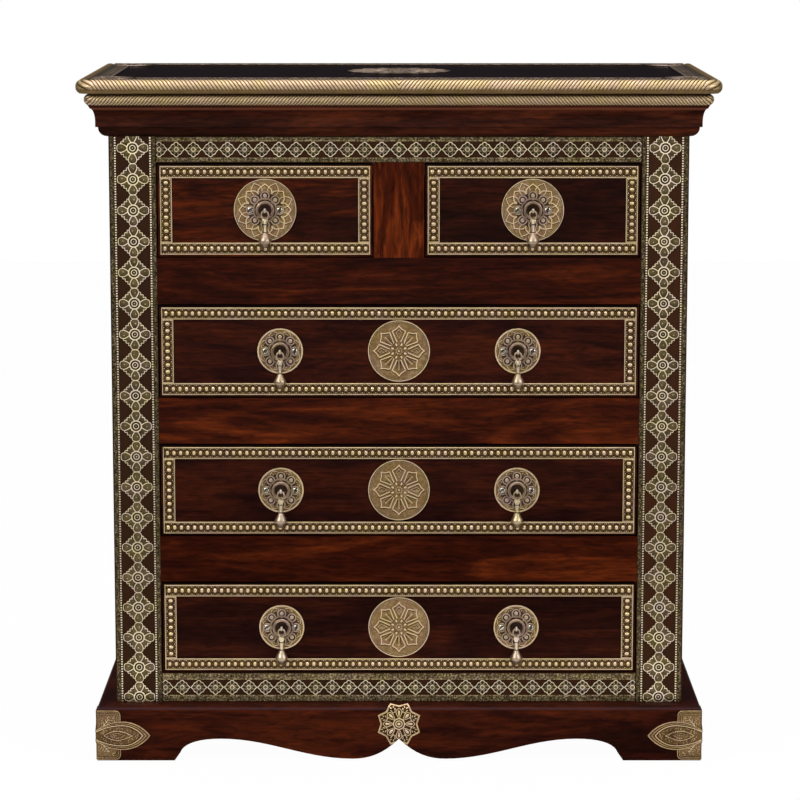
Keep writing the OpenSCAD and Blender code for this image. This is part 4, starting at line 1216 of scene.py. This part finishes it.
# Stage: plain pale floor and soft studio light. The camera sees both floor and room white
room = {"size": 7, "place": (0, 2.6, -0.0005), "floor": (0.9, 0.9, 0.9, 1), "floorWhite": 0.975,
        "tint": (0.97, 0.98, 1.0, 1), "light": 0.45, "horizon": 0.03, "ceiling": 0.95}
tree, shader = newMaterial("paleFloor")
setSockets(shader, {"Base Color": room["floor"], "Roughness": 0.9, "Specular IOR Level": 0.1})
plain = tree.nodes.new("ShaderNodeEmission")
setSockets(plain, {"Color": (1, 1, 1, 1), "Strength": 1.0})
seen = addMath(tree, "MULTIPLY", tree.nodes.new("ShaderNodeLightPath").outputs["Is Camera Ray"], room["floorWhite"])
blend = mixShaders(tree, seen, shader.outputs["BSDF"], plain.outputs["Emission"])
tree.links.new(blend, tree.nodes["Material Output"].inputs["Surface"])
bpy.ops.mesh.primitive_plane_add(size=room["size"], location=room["place"])
floor = bpy.context.object
floor.name = "floor"
floor.data.materials.append(materials["paleFloor"])

# The room: even light, a dim horizon and a bright ceiling in reflections, white behind the object
world = bpy.data.worlds.new("studio")
bpy.context.scene.world = world
world.use_nodes = True
tree = world.node_tree
even = tree.nodes["Background"]
reflected, white = tree.nodes.new("ShaderNodeBackground"), tree.nodes.new("ShaderNodeBackground")
setSockets(even, {"Color": room["tint"], "Strength": room["light"]})
setSockets(white, {"Color": (1, 1, 1, 1), "Strength": 1.0})
rise = axisOf(tree, tree.nodes.new("ShaderNodeTexCoord").outputs["Generated"], "Z")
sky = addRamp(tree, rise, [(0.3, room["horizon"]), (0.6, room["ceiling"] * 0.6), (0.85, room["ceiling"])])
tree.links.new(sky, reflected.inputs["Color"])
rays = tree.nodes.new("ShaderNodeLightPath").outputs
glossy = mixShaders(tree, rays["Is Glossy Ray"], even.outputs["Background"], reflected.outputs["Background"])
backdrop = mixShaders(tree, rays["Is Camera Ray"], glossy, white.outputs["Background"])
tree.links.new(backdrop, tree.nodes["World Output"].inputs["Surface"])

# Lamps: place, aim, size and power
lamps = {
    "keyLight": ((-2.6, -3.0, 2.6), (0, 0, 0.5), (1.6, 1.6), 85),
    "fillLight": ((2.8, -2.6, 1.8), (0, 0, 0.5), (1.6, 1.6), 55),
    "topLight": ((0, -0.4, 3.4), (0, 0, 0.6), (2.4, 1.8), 45),
    "frontLight": ((0, -5.2, 0.5), (0, 0, 0.5), (2.6, 2.0), 30),
}
for name, (location, target, size, power) in lamps.items():
    data = bpy.data.lights.new(name, "AREA")
    data.shape = "RECTANGLE"
    data.size, data.size_y = size
    data.energy = power
    lamp = bpy.data.objects.new(name, data)
    lamp.location = location
    lamp.rotation_euler = (Vector(target) - Vector(location)).to_track_quat("-Z", "Y").to_euler()
    lamp.visible_camera = False
    bpy.context.collection.objects.link(lamp)
print("stage ready")
